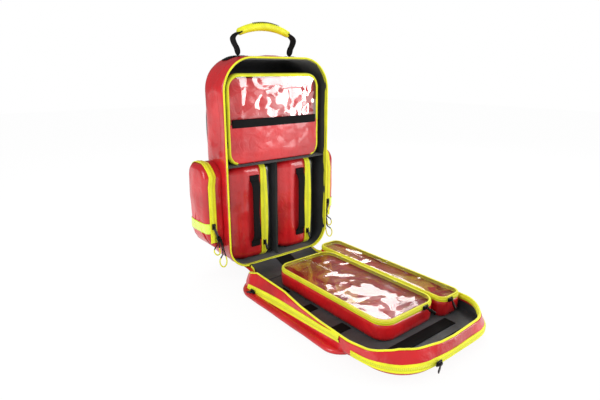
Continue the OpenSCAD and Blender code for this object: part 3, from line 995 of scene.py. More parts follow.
def block(size: Sequence[float], centre: Sequence[float], axes: Sequence[Sequence[float]] | None = None,
          round_by: float = 0.8) -> Points:
    """A small moulding with all its edges rounded.

    Args:
        size: Length, width and height.
        centre: Its middle.
        axes: Directions of the length, width and height.
        round_by: Radius of its edges.

    Returns:
        Rows of points, one row for each level.
    """
    l, w, h = size
    frame_axes = np.array(axes if axes is not None else np.eye(3), float)
    r = min(round_by, l / 2.2, w / 2.2, h / 2.2)
    rows = []
    for level, inset in ((-h / 2, r), (-h / 2 + r * 0.3, r * 0.3), (-h / 2 + r, 0), (h / 2 - r, 0),
                         (h / 2 - r * 0.3, r * 0.3), (h / 2, r)):
        half_l, half_w, ring = l / 2 - inset, w / 2 - inset, []
        for sx, sy, start in ((1, -1, -90), (1, 1, 0), (-1, 1, 90), (-1, -1, 180)):
            for step in range(4):
                a = math.radians(start + 30 * step)
                ring.append((sx * (half_l - r) + r * math.cos(a), sy * (half_w - r) + r * math.sin(a), level))
        rows.append(ring)
    return np.array(centre, float) + np.array(rows) @ frame_axes




# Zip band from edge to edge: (share of the width, height off the cloth), a tape, the coil and a tape.
ZIP_SECTION = ((-0.5, 0.0), (-0.5, 1.1), (-0.44, 1.5), (-0.3, 1.3), (-0.17, 0.9), (-0.12, 1.9), (0.0, 2.5),
               (0.12, 1.9), (0.17, 0.9), (0.3, 1.3), (0.44, 1.5), (0.5, 1.1), (0.5, 0.0))
COIL_COLUMNS = (5, 6, 7)


def zip_band(path: Points, across: Points, normal: Points, width: float, rise: float = 1.0) -> Points:
    """Lays a zip band with its coil along a path.

    Args:
        path: The band's middle line.
        across: Direction over the band's width, one for each point.
        normal: Direction off the cloth, one for each point.
        width: The band's width.
        rise: How strongly the coil and edges stand out.

    Returns:
        Points, one row for each part of the section.
    """
    return np.stack([path + across * (share * width) + normal * (height * rise)
                     for share, height in ZIP_SECTION])


def is_coil(row: int, _column: int) -> int:
    """Chooses the coil's finish for the middle of a zip band. Args: row: the row. Returns: 0 tape, 1 coil."""
    return 1 if row in COIL_COLUMNS else 0


class ZipSlider:
    """A zip slider with its bridge and a hanging puller, as one moulding on its CAD slider's place."""

    def __init__(self, name: str, node: str, body: str, along: Sequence[float], out: Sequence[float],
                 hang: Sequence[float] | None = None, reach: float = 24.0) -> None:
        """Keeps what the slider needs.

        Args:
            name: The piece's name.
            node: The CAD slider.
            body: The CAD body it rides on.
            along: Direction of its travel.
            out: Direction off the zip.
            hang: Direction in which the puller lies; without it there is no puller.
            reach: Length of the puller.
        """
        self.name, self.node, self.body, self.reach = name, node, body, reach
        self.along, self.out = np.array(along, float), np.array(out, float)
        self.hang = None if hang is None else unit(np.array(hang, float))

    def make(self) -> bpy.types.Object:
        """Builds the slider.

        Returns:
            The object.
        """
        low, high = (np.array(c) * 1000 - (0, OPENING_Y, 0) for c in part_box(self.node))
        middle = (low + high) / 2
        side = np.cross(self.out, self.along)
        axes = (self.along, side, self.out)
        parts = [block((15, 9.5, 1.5), middle - self.out * 0.9, axes, 0.6),
                 block((13, 8.5, 1.4), middle + self.out * 1.0, axes, 0.6),
                 block((4, 4, 3.4), middle, axes, 0.6)]
        bridge = smooth_path([middle + self.along * a + self.out * b for a, b in
                              ((-5, 1.5), (-4, 3.6), (0, 4.6), (4, 3.6), (5, 1.5))], 12)
        strap = ribbon(bridge, side, 3.2, 1.2)
        piece = Piece(self.name, ACETAL, self.body, [self.node], more=[GREY_ACETAL])
        if self.hang is not None:
            flat = unit(np.cross(self.hang, side) if abs(np.dot(self.hang, side)) < 0.9
                        else np.cross(self.hang, self.along))
            wide = np.cross(flat, self.hang)
            start = middle + self.out * 3.6
            axes = (self.hang, wide, flat)
            for share, breadth, thick, at, soft in ((0.35, 5.0, 1.8, 0.17, 0.8), (0.75, 7.0, 2.6, 0.62, 1.2)):
                middle = start + self.hang * self.reach * at
                parts.append(block((self.reach * share, breadth, thick), middle, axes, soft))
        return piece.solid(*parts, strap)


@dataclass
class Sizes:
    """Sizes shared by the sub-assemblies, in millimetres."""

    width: float = 312.0
    height: float = 512.0
    depth: float = 128.0
    base: float = 30.0
    low_r: float = 58.0
    high_r: float = 80.0
    wall: float = 4.8
    hinge_gap: float = 24.0
    panel_floor: float = 10.3
    tray: float = 15.1
    rim: float = 52.0
    pouch_floor: float = 16.9
    cover: float = 59.9
    shelf: float = 287.0
    top: float = 542.0
    webbing: float = 25.0

    @property
    def outline(self) -> Outline:
        """The outline of the opening and of the front panel."""
        return Outline(self.width, self.height, self.low_r, self.high_r)

    @property
    def opening(self) -> Plane:
        """The plane of the opening."""
        return Plane((0, 0, self.base), (1, 0, 0), (0, 0, 1), (0, 1, 0))

    @property
    def panel(self) -> Plane:
        """The plane that the front panel lies on."""
        return Plane((0, -self.hinge_gap, 0), (1, 0, 0), (0, -1, 0), (0, 0, 1))


SIZES = Sizes()


@dataclass
class MainBag:
    """The standing bag: shell, lining, rim, shelf, divider, hinge cloth and the handle's sewn patches."""

    s: Sizes = field(default_factory=lambda: SIZES)
    side_r: float = 50.0
    top_r: float = 40.0
    foot_r: float = 32.0
    lining_back: float = 123.0

    def back_rings(self, inset: float, front: float, back: float, rows: int, outline: Outline) -> Points:
        """Lofts the bag's form from its opening to its rounded back.

        Args:
            inset: How far inside the outline it starts.
            front: Depth of the first ring.
            back: Depth of the last ring.
            rows: How many rings.
            outline: The outline of the opening.

        Returns:
            Rows of points.
        """
        flat, normals = outline.sample()
        nx, nz = np.abs(normals[:, 0]), normals[:, 1]
        radius = nx**2 * self.side_r + (1 - nx**2) * np.where(nz > 0, self.top_r, self.foot_r)
        share = 1 - (1 - np.linspace(0, 1, rows)) ** 1.6
        made = []
        for y in front + (back - front) * share:
            over = np.clip(y - (back - radius), 0, radius)
            take = radius - np.sqrt(np.maximum(radius**2 - over**2, 0))
            made.append(self.s.opening.place(flat - normals * (inset + take)[:, None], y))
        return np.array(made)

    def shell(self) -> None:
        """Builds the red outer shell, with the soft folds of a half-filled bag."""
        rows = self.back_rings(0.4, 2.5, self.s.depth - 1, 34, self.s.outline)
        rows = np.concatenate([rows, towards_middle(rows[-1], 8)])
        out = offsets(rows, True)
        away = np.clip((rows[..., 1:2] - 2) / 22, 0, 1)
        soft = creases(rows, (150, 150, 120), 11)[..., None] * 3.6
        folds = np.maximum(creases(rows, (80, 60, 52), 5), 0)[..., None] ** 1.5 * 5.0
        rows = rows + out * away * (soft + folds - 1.2)
        Piece("bag_shell", RED, "main_bag", ["main_shell"]).from_grid(rows, closed=True, thick=1.2)
        seam = rows[4] + out[4] * 0.4
        Piece("bag_shell_seam", RED_THREAD, "main_bag").from_grids(
            stitch_line(np.concatenate([seam, seam[:1]]), np.concatenate([out[4], out[4][:1]])), closed=True)

    def lining(self) -> None:
        """Builds the dark lining, loose in its corners."""
        rows = self.back_rings(4.6, 1.5, self.lining_back, 30, self.s.outline)
        rows = np.concatenate([rows, towards_middle(rows[-1], 10)])
        out = offsets(rows, True)
        away = np.clip((rows[..., 1:2] - 2) / 16, 0, 1) * np.clip((rows[..., 2:3] - 60) / 30, 0, 1)
        rows = rows - out * away * np.maximum(creases(rows, (90, 60, 70), 23), -0.2)[..., None] * 3.0
        Piece("bag_lining", CLOTH, "main_bag", ["main_lining"]).from_grid(rows, closed=True, thick=0.8)

    def rim(self) -> None:
        """Builds the piping round the opening and the half zip behind it."""
        flat, normals = self.s.outline.sample()
        line = self.s.opening.place(flat - normals * 2.1, 1.4)
        Piece("bag_piping", TAPE, "main_bag", ["main_piping"]).from_grid(
            tube(line, 2.1, 10, closed=True), closed=True, wrap_rows=True)
        inner = rings(self.s.opening, self.s.outline, (
            (4.5, 1.0), (4.9, 1.6), (5.1, 3.5), (5.2, 5.0), (5.2, 6.5), (5.0, 7.5), (4.8, 9.0), (4.7, 10.5)))
        Piece("bag_half_zip", TAPE, "main_bag", more=[COIL]).from_grid(
            inner, closed=True, pick=lambda row, _: 1 if row in (3, 4) else 0)

    def shelf(self) -> None:
        """Builds the shelf that carries the upper module, with a bound front edge."""
        x = np.linspace(-1, 1, 60)
        y = np.linspace(0, 1, 16)
        deep = 13 + 108 * y
        over = np.clip(deep + 7 - (self.s.depth - self.side_r), 0, self.side_r)
        half = self.s.width / 2 - 5.6 - (self.side_r - np.sqrt(self.side_r**2 - over**2))
        rows = np.array([[(h * a, d, self.s.shelf + 2) for a in x] for h, d in zip(half, deep)])
        sag = (1 - np.abs(x) ** 2.5)[None, :] * (1 - y[:, None] * 0.7)
        rows[..., 2] += 1.0 * soft_noise(rows, (60, 60, 60), 31) - 0.9 * sag
        Piece("shelf_board", GREY_CLOTH, "main_bag", ["shelf"]).from_grid(rows, thick=3.0)
        edge = rows[0] + (0, -0.6, 0.4)
        Piece("shelf_binding", CLOTH, "main_bag").solid(tube(edge, 1.9, 10))

    def divider(self) -> None:
        """Builds the padded divider between the two lower modules."""
        z = np.linspace(0, 1, 60)
        y = np.linspace(0, 1, 20)
        rows = []
        for b in z:
            ring = []
            height = 36 + 249 * b
            pinch = 0.75 + 0.25 * math.sin(math.pi * b)
            for side, order in ((-1, y), (1, y[::-1])):
                for a in order:
                    swell = math.sqrt(max(1 - (2 * a - 1) ** 6, 0)) * 5.2 * pinch
                    ring.append((-3 + side * swell, 13.5 + 107 * a, height))
            rows.append(ring)
        rows = np.array(rows)
        rows[..., 0] += creases(rows, (40, 60, 50), 37) * 0.9
        obj = Piece("divider_pad", CLOTH, "main_bag", ["divider"]).solid(rows)

    def hinge_cloth(self) -> None:
        """Builds the lining that runs over the hinge from the bag into the panel, and its webbing."""
        line = smooth_path([(22, 34.4), (12, 34.3), (3, 33.6), (-6, 31.8), (-16, 28.9), (-26, 25.2),
                            (-36, 20.8), (-46, 18.2), (-58, 17.2), (-72, 17.0)], 44)
        half = np.interp(line[:, 0], (-72, -40, -24, 0, 22), (112, 108, 100, 100, 102))
        x = np.linspace(-1, 1, 70)
        rows = np.array([[(h * a, y, z) for a in x] for h, (y, z) in zip(half, line)])
        middle = (1 - np.abs(x) ** 3)[None, :]
        rows[..., 2] += middle * (creases(rows, (55, 22, 30), 41) * 1.2 - 0.6)
        cloth = Piece("hinge_cloth", GREY_CLOTH, "", ["hinge_gusset"]).from_grid(rows, thick=1.0)
        self.bend(cloth)
        strap = np.array([(y, z + 1.2) for y, z in line[12:38]])
        path = np.stack([np.full(len(strap), 0.0), strap[:, 0], strap[:, 1]], 1)
        band = ribbon(path, (1, 0, 0), 46, 1.4)
        self.bend(Piece("hinge_webbing", WEBBING, "").solid(band))
        under = smooth_path([(20, 29.2), (2, 28.4), (-12, 26.4), (-26, 22), (-34, 14), (-40, 9.6)], 30)
        rows = np.array([[(112 * a, y, z) for a in x] for y, z in under])
        self.bend(Piece("hinge_outer_cloth", RED, "").from_grid(rows, thick=1.0))
        for side in (-1, 1):
            tip = smooth_path([(side * 100, 3, 31), (side * 101, -10, 30), (side * 104, -24, 28.5),
                               (side * 112, -36, 27), (side * 118, -42, 28)], 24)
            self.bend(Piece(f"hinge_tape_{'left' if side < 0 else 'right'}", TAPE, "").solid(
                ribbon(tip, (0, 0.3, 1), 7, 1.4)))

    def bend(self, obj: bpy.types.Object) -> None:
        """Bakes a piece's placement into its mesh. Args: obj: the piece."""
        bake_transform(obj)

    def zip_sliders(self) -> None:
        """Builds the two sliders that rest at the foot of the opening."""
        grids = []
        for side in (-1, 1):
            middle = np.array((side * 98.0, -1.2, 31.0))
            axes = ((1, 0, 0), (0, 0, 1), (0, -1, 0))
            grids += [block((10, 7, 1.2), middle, axes, 0.5),
                      block((8, 6, 1.2), middle + (0, -1.8, 0), axes, 0.5),
                      block((3, 3, 3), middle + (0, -1, 0), axes, 0.5),
                      block((3, 5, 13), middle + (0, -3.4, -6), None, 0.8)]
        Piece("rim_sliders", ACETAL, "main_bag", ["main_zip_sliders"]).solid(*grids)

    def handle_patches(self) -> None:
        """Builds the webbing sewn to the top, with its box stitches."""
        straps, seams = [], []
        for side in (-1, 1):
            arc = []
            for x in np.linspace(56, 114, 26):
                over = max(x - 76, 0)
                arc.append((side * x, 64.0, self.s.top + 1.6 - (80 - math.sqrt(80**2 - over**2))))
            path = np.array(arc)
            straps.append(ribbon(path, (0, 1, 0), 25, 2.2))
            up = (side * 0.2, 0, 1)
            for shift in (-10.5, 10.5):
                seams += stitch_line(path[3:-3] + (0, shift, 1.3), up)
            for at in (3, 12, -4):
                cross = np.array([path[at] + (0, k, 1.3) for k in np.linspace(-10.5, 10.5, 12)])
                seams += stitch_line(cross, up)
        Piece("handle_patches", WEBBING, "main_bag", ["handle_anchors"]).solid(*straps)
        Piece("handle_patch_stitches", BLACK_THREAD, "main_bag").from_grids(seams, closed=True)

    def build(self) -> None:
        """Builds every piece of the standing bag."""
        for step in (self.shell, self.lining, self.rim, self.shelf, self.divider, self.hinge_cloth,
                     self.zip_sliders, self.handle_patches):
            step()


def lay_on(points: Points, direction: Sequence[float] | Points, surface: Points, lift: float,
           closed: bool = False) -> Points:
    """Drops points on a surface.

    Args:
        points: The points, with the last axis of three.
        direction: Direction off the surface, one or one for each point.
        surface: Rows of the surface's points.
        lift: How far off the surface the points end.
        closed: Whether each of the surface's rows joins its own start.

    Returns:
        The moved points.
    """
    rows, cols = surface.shape[:2]
    faces = [(i * cols + j, i * cols + (j + 1) % cols, (i + 1) * cols + (j + 1) % cols, (i + 1) * cols + j)
             for i in range(rows - 1) for j in range(cols if closed else cols - 1)]
    tree = BVHTree.FromPolygons([tuple(p) for p in surface.reshape(-1, 3)], faces)
    flat = points.reshape(-1, 3)
    ways = unit(np.broadcast_to(np.asarray(direction, float), points.shape).reshape(-1, 3))
    moved = flat.copy()
    for k, (point, way) in enumerate(zip(flat, ways)):
        hit = tree.ray_cast(Vector(point + way * 25), Vector(-way), 60)[0]
        if hit is not None:
            moved[k] = np.array(hit) + way * lift
    return moved.reshape(points.shape)


def inflate(obj: bpy.types.Object, cap_mm: float, voxel_mm: float = 5.0) -> None:
    """Swells a closed piece as stuffed cloth, by a short cloth simulation that is then applied.

    Args:
        obj: The piece, with no other modifiers.
        cap_mm: The most that a point may move.
        voxel_mm: Size of the even mesh that is simulated.
    """
    scene = bpy.context.scene
    bpy.context.view_layer.objects.active = obj
    mesh = obj.modifiers.new("even mesh", "REMESH")
    mesh.mode, mesh.voxel_size = "VOXEL", voxel_mm / 1000
    with bpy.context.temp_override(object=obj, active_object=obj, selected_objects=[obj]):
        bpy.ops.object.modifier_apply(modifier=mesh.name)
    start = np.empty(len(obj.data.vertices) * 3)
    obj.data.vertices.foreach_get("co", start)
    cloth = obj.modifiers.new("stuffing", "CLOTH")
    cloth.settings.use_pressure = True
    cloth.settings.uniform_pressure_force = 4.0
    cloth.settings.effector_weights.gravity = 0.0
    cloth.point_cache.frame_start, cloth.point_cache.frame_end = 1, 20
    for frame_number in range(1, 21):
        scene.frame_set(frame_number)
    shown = obj.evaluated_get(bpy.context.evaluated_depsgraph_get()).to_mesh()
    end = np.empty(len(shown.vertices) * 3)
    shown.vertices.foreach_get("co", end)
    move = (end - start).reshape(-1, 3)
    size = np.linalg.norm(move, axis=1, keepdims=True)
    move *= np.minimum(1, cap_mm / 1000 / np.maximum(size, 1e-9))
    obj.modifiers.remove(cloth)
    scene.frame_set(1)
    obj.data.vertices.foreach_set("co", (start.reshape(-1, 3) + move).ravel())
    fine = obj.modifiers.new("smooth", "SUBSURF")
    fine.levels = fine.render_levels = 1
    obj.data.polygons.foreach_set("use_smooth", np.ones(len(obj.data.polygons), bool))
    obj.data.update()


def sculpt(obj: bpy.types.Object, change: Callable[[Points], Points]) -> None:
    """Moves a finished mesh's points.

    Args:
        obj: The piece.
        change: New points from old, both in millimetres.
    """
    flat = np.empty(len(obj.data.vertices) * 3)
    obj.data.vertices.foreach_get("co", flat)
    points = flat.reshape(-1, 3) * 1000 - (0, OPENING_Y, 0)
    moved = (change(points) + (0, OPENING_Y, 0)) / 1000
    obj.data.vertices.foreach_set("co", moved.ravel())
    obj.data.update()


@dataclass
class SidePocket:
    """A stuffed side pocket with a zip over its top and front, a reflective stripe and a cord pull."""

    side: Side
    x0: float = 156.4
    y0: float = 28.0
    length: float = 90.0
    z0: float = 85.0
    high: float = 213.0
    zip_x: float = 184.0
    zip_w: float = 18.0

    @property
    def label(self) -> str:
        """The side's name."""
        return "left" if self.side is Side.LEFT else "right"

    def taper(self, z: Points) -> Points:
        """How far out the pocket reaches at a height. Args: z: heights. Returns: shares."""
        return np.interp(z - self.z0, (0, 12, 28, 46, 90), (0.48, 0.68, 0.88, 0.99, 1.0))

    def body_rows(self) -> Points:
        """Lofts the pocket outwards from the bag's side.

        Returns:
            Rows of points.
        """
        outline = Outline(self.length, self.high, 12, 34, 200)
        plane = Plane((0, self.y0 + self.length / 2, self.z0), (0, 1, 0), (0, 0, 1), (1, 0, 0))
        profile = [(0, 0), (0, 5), (0, 10), (0, 15), (0, 20), (0, 25), (0, 29), (0.3, 33), (1.2, 37),
                   (3.0, 40.5), (6.0, 43.5), (10, 45.3), (15, 46)]
        rows = rings(plane, outline, profile)
        rows = np.concatenate([rows, towards_middle(rows[-1], 12, 1.8, (1, 0, 0))])
        out = offsets(rows, True)
        front = np.clip((60 - rows[..., 1]) / 30, 0, 1)
        soft = creases(rows, (60, 60, 70), 51 + self.side.value) * 2.8
        gather = creases(rows, (22, 12, 60), 57) * 1.3 * front
        keep = np.clip(np.abs(rows[..., 0] - (self.zip_x - self.x0)) / 12 - 0.7, 0.1, 1)
        rows = rows + out * ((soft + gather) * keep)[..., None]
        fuller = 1.1 if self.side is Side.RIGHT else 1.0
        rows[..., 0] = self.x0 + np.maximum(rows[..., 0], 0) * self.taper(rows[..., 2]) * fuller
        return rows

    def mirrored(self, points: Points) -> Points:
        """Puts points drawn on the right on the pocket's own side.

        Args:
            points: The points.

        Returns:
            The moved points.
        """
        return points * (self.side.value, 1, 1)

    def build(self) -> None:
        """Builds the pocket, its zip, its stripe, its slider and its cord pull."""
        rows = self.body_rows()
        pocket = Piece(f"side_pouch_{self.label}", RED, "main_bag",
                       [f"side_pocket_{self.label}"]).solid(self.mirrored(rows))
        self.zip(rows)
        self.stripe(rows)
        ZipSlider(f"side_zip_slider_{self.label}", f"side_slider_{self.label}", f"side_slider_{self.label}",
                  (0, 0, 1), (0, -1, 0)).make()
        self.pull()

    def zip(self, rows: Points) -> None:
        """Builds the zip band.

        Args:
            rows: The pocket's points.
        """
        y1, top = self.y0 + self.length, self.z0 + self.high
        line = smooth_path([(y1, top - 50), (y1, top - 34), (y1 - 9, top - 10), (y1 - 32, top),
                            (y1 - 52, top), (self.y0 + 10, top - 9.5), (self.y0, top - 33),
                            (self.y0, top - 60), (self.y0, top - 110), (self.y0, self.z0 + 60),
                            (self.y0, self.z0 + 20)], 120)
        path = np.stack([np.full(len(line), self.zip_x), line[:, 0], line[:, 1]], 1)
        path[:, 0] += np.interp(line[:, 1], (110, 150, 246, 268, 290), (-1, 0, 0, -4, 0)) * (line[:, 0] < 60)
        ahead = unit(np.gradient(path, axis=0))
        normal = unit(np.cross(ahead, (1, 0, 0)))
        if normal[:, 2].sum() < 0:
            normal = -normal
        path = lay_on(path, normal, rows, 0.7, closed=True)
        path[:, 1] = np.convolve(np.pad(path[:, 1], 4, mode="edge"), np.ones(9) / 9, "valid")
        band = zip_band(path, np.broadcast_to((1.0, 0, 0), path.shape), normal, self.zip_w)
        nodes = ["side_zips"] if self.side is Side.LEFT else []
        Piece(f"side_zip_{self.label}", TAPE, "main_bag", nodes, [COIL]).from_grid(
            self.mirrored(band), pick=is_coil)

    def stripe(self, rows: Points) -> None:
        """Builds the reflective stripe round the outer face.

        Args:
            rows: The pocket's points.
        """
        corner = smooth_path([(191.5, 26.5), (197, 27.5), (201.5, 31), (203.5, 38), (204.5, 56), (204.5, 80),
                              (203.5, 98), (201, 108), (196, 115)], 60)
        ahead = np.where(corner[:, 1] < 60, corner[:, 1] - 62, np.maximum(corner[:, 1] - 80, 0))
        way = unit(np.stack([corner[:, 0] - 182, ahead, 0 * corner[:, 0]], 1))
        grid = np.stack([np.stack([corner[:, 0], corner[:, 1], np.full(len(corner), z)], 1)
                         for z in np.linspace(129, 155, 9)])
        grid = lay_on(grid, np.broadcast_to(way, grid.shape), rows, 0.9, closed=True)
        nodes = ["reflective_stripes"] if self.side is Side.LEFT else []
        Piece(f"reflective_stripe_{self.label}", PRISM, "main_bag", nodes).from_grid(
            self.mirrored(grid), thick=0.5)
        seams = stitch_line(grid[0] + (0, 0, 1.5), way) + stitch_line(grid[-1] - (0, 0, 1.5), way)
        Piece(f"reflective_stitches_{self.label}", THREAD, "main_bag").from_grids(
            [self.mirrored(g) for g in seams], closed=True)

    def pull(self) -> None:
        """Builds the puller and its knots."""
        lean = math.radians(20)
        down = np.array((-math.sin(lean), 0, -math.cos(lean)))
        pin = np.array((self.zip_x, 21.4, 143.0))
        wide = np.array((math.cos(lean), 0, -math.sin(lean)))
        axes = (down, wide, (0, 1, 0))
        tab = [block((24, 6.4, 2.2), pin + down * 12, axes, 1.0),
               block((10, 4.2, 3.2), pin + down * 7, axes, 1.2)]
        knot = [block((8.5, 12.5, 6.4), pin + down * 29.2, axes, 2.6),
                block((5, 8, 7.2), pin + down * 24.5, axes, 2.0)]
        body = f"side_pull_{self.label}"
        Piece(f"pull_tab_{self.label}", GREY_ACETAL, body, [f"side_pull_{self.label}"]).solid(
            *[self.mirrored(g) for g in tab])
        Piece(f"pull_knot_{self.label}", ACETAL, body, slot="grey_puller").solid(
            *[self.mirrored(g) for g in knot])

    def loops(self) -> None:
        lean, drop = math.radians(20), 33.0
        start = np.array((-self.zip_x + drop * math.sin(lean), 21.4, 143 - drop * math.cos(lean) - 1.2))
        flip = (1 if self.side is Side.LEFT else -1, 1, 1)
        short = [(-4, 0, -1.4), (-6, -1, -7), (-10, -2, -12), (-15, -4, -16), (-18, -5, -22), (-17, -7, -28),
                 (-12, -8, -33), (-6, -7, -33), (-3, -6, -28), (-3, -4, -21), (-2, -3, -14), (-1, -1, -7),
                 (-1, 0, -0.3)]
        long = [(2, 0, 0.7), (3, -2, -8), (3, -5, -17), (3, -8, -26), (1, -11, -34), (-5, -14, -39),
                (-10, -16, -46), (-10, -18, -54), (-6, -19, -61), (0, -19, -63), (6, -18, -59),
                (9, -16, -51), (9, -13, -42), (8, -10, -34), (7, -8, -26), (7, -5, -17), (6, -2, -8),
                (5, 0, 1.7)]
        for name, points, sleeve_from in (("short", short, -19), ("long", long, -40)):
            path = smooth_path((np.array(points, float) + start) * flip, 110)
            rows = tube(path, 1.6, 8)
            low = path[:, 2] - start[2] < sleeve_from
            nodes = [f"pull_loops_{self.label}"] if name == "short" else []
            piece = Piece(f"pull_loop_{name}_{self.label}", BLACK_CORD, f"side_pull_{self.label}", nodes,
                          [SLEEVE])
            obj = piece.from_grid(rows, closed=True, caps=True, pick=lambda i, _, low=low: int(low[i]))


@dataclass
class Harness:
    """What lies against the back: back pad, lumbar pad, shoulder straps, their buckles and lower straps."""

    s: Sizes = field(default_factory=lambda: SIZES)
    strap_x: float = 72.0
    strap_w: float = 60.0
    strap_t: float = 12.0

    def pad(self, name: str, node: str, size: tuple[float, float, float], foot: float,
            radii: tuple[float, float], channels: Sequence[float]) -> None:
        """Builds a stuffed pad with sewn channels.

        Args:
            name: The piece's name.
            node: The CAD node.
            size: Width, height and thickness.
            foot: Height of its lower edge.
            radii: Radii of its lower and upper corners.
            channels: X of each sewn channel.
        """
        width, high, thick = size
        plane = Plane((0, self.s.depth + 0.6, foot), (1, 0, 0), (0, 0, 1), (0, 1, 0))
        outline = Outline(width - 4, high - 2, *radii, count=160)
        rows = rings(plane, outline, ((3, 0), (0, 2), (0, thick * 0.45), (2, thick * 0.7), (7, thick * 0.88)))
        rows = np.concatenate([towards_middle(rows[0], 6)[::-1], rows,
                               towards_middle(rows[-1], 8, thick * 0.08, (0, 1, 0))])
        obj = Piece(name, MESH, "main_bag", [node]).solid(rows)
        inflate(obj, 5.0)

        def quilt(points: Points) -> Points:
            """Presses the channels in.

            Args:
                points: The pad's points.

            Returns:
                The pressed points.
            """
            near = np.zeros(len(points))
            for x in channels:
                near = np.maximum(near, np.exp(-((points[:, 0] - x) / 5.0) ** 2))
            points[:, 1] -= near * np.clip((points[:, 1] - self.s.depth - 4) / thick, 0, 1) * 6
            points[:, 1] = np.clip(points[:, 1], self.s.depth + 0.4, self.s.depth + thick + 3)
            points[:, 2] = np.maximum(points[:, 2], foot + 0.2)
            return points

        sculpt(obj, quilt)
        edge = rings(plane, outline, ((-0.6, 1.6),))[0]
        edge[:, 2] = np.maximum(edge[:, 2], 2.1)
        Piece(name + "_binding", WEBBING, "main_bag").from_grid(
            tube(edge, 1.8, 8, closed=True), closed=True, wrap_rows=True)

    def strap_line(self) -> Points:
        """Returns the middle line of a shoulder strap, as Y and Z."""
        y, top = 149.3, self.s.top
        return smooth_path([(y, top - 50), (y, top - 76), (y + 8, top - 88), (y + 26, top - 102),
                            (y + 40, top - 124), (y + 46, top - 158), (y + 46, top - 204),
                            (y + 40, top - 245), (y + 28, top - 285), (y + 14, top - 318)], 90)

    def shoulder_strap(self, side: Side) -> None:
        """Builds one padded shoulder strap with its webbing.

        Args:
            side: The strap's side.
        """
        label, x = side.name.lower(), side.value * self.strap_x
        line = self.strap_line()
        ahead = unit(np.gradient(line, axis=0))
        out = np.stack([-ahead[:, 1], ahead[:, 0]], 1)
        if out[:, 0].sum() < 0:
            out = -out
        run = np.linspace(0, 1, len(line))
        half = self.strap_w / 2 * np.interp(run, (0, 0.06, 0.75, 1), (0.92, 1, 1, 0.72))
        thick = self.strap_t / 2 * np.interp(run, (0, 0.05, 0.95, 1), (0.55, 1, 1, 0.5))
        angle = np.linspace(0, 2 * math.pi, 36, endpoint=False)
        cx, cy = np.cos(angle), np.sin(angle)
        flat_x, flat_y = np.sign(cx) * np.abs(cx) ** 0.55, np.sign(cy) * np.abs(cy) ** 0.6
        rows = np.stack([np.stack([x + flat_x * h, p[0] + flat_y * t * o[0], p[1] + flat_y * t * o[1]], 1)
                         for p, o, h, t in zip(line, out, half, thick)])
        rows += offsets(rows, True) * (creases(rows, (30, 30, 26), 61)[..., None] * 0.5)
        obj = Piece(f"shoulder_pad_{label}", MESH, "main_bag",
                    [f"shoulder_strap_{label}"]).solid(rows)
        web = np.stack([np.full(len(line), x), line[:, 0] + out[:, 0] * (thick + 0.7),
                        line[:, 1] + out[:, 1] * (thick + 0.7)], 1)
        Piece(f"shoulder_webbing_{label}", WEBBING, "main_bag").solid(
            ribbon(web[4:], (1, 0, 0), self.s.webbing, 1.8))

    def lower(self) -> None:
        """Builds the buckles and the lower straps."""
        locks, straps = [], []
        for side in (-1, 1):
            x, y, z = side * self.strap_x, 163.3, 207.4
            for dx in (-15, 15):
                locks.append(block((4, 6, 29.4), (x + dx, y, z), None, 1.4))
            for dz in (-13, 0, 13):
                locks.append(block((31, 5.6, 3.6), (x, y, z + dz), None, 1.3))
            path = smooth_path([(x, y, 196), (x, y - 1, 186), (x, y - 3, 172), (x, 149.4, 150),
                                (x, 133.4, 134), (x, 129.6, 127), (x, 129.5, 117)], 50)
            straps.append(ribbon(path, (1, 0, 0), self.s.webbing, 2.2))
        Piece("ladder_buckles", ACETAL, "main_bag", ["ladder_locks"]).solid(*locks)
        Piece("lower_strap_webbing", WEBBING, "main_bag", ["lower_straps"]).solid(*straps)

    def build(self) -> None:
        """Builds the whole harness."""
        self.pad("padded_back", "back_pad", (208, 335, 14.5), 152, (20, 30), (-52, 0, 52))
        self.pad("lumbar_cushion", "lumbar_pad", (144, 112, 29), 0, (6, 18), (-24, 24))
        for side in Side:
            self.shoulder_strap(side)
        self.lower()


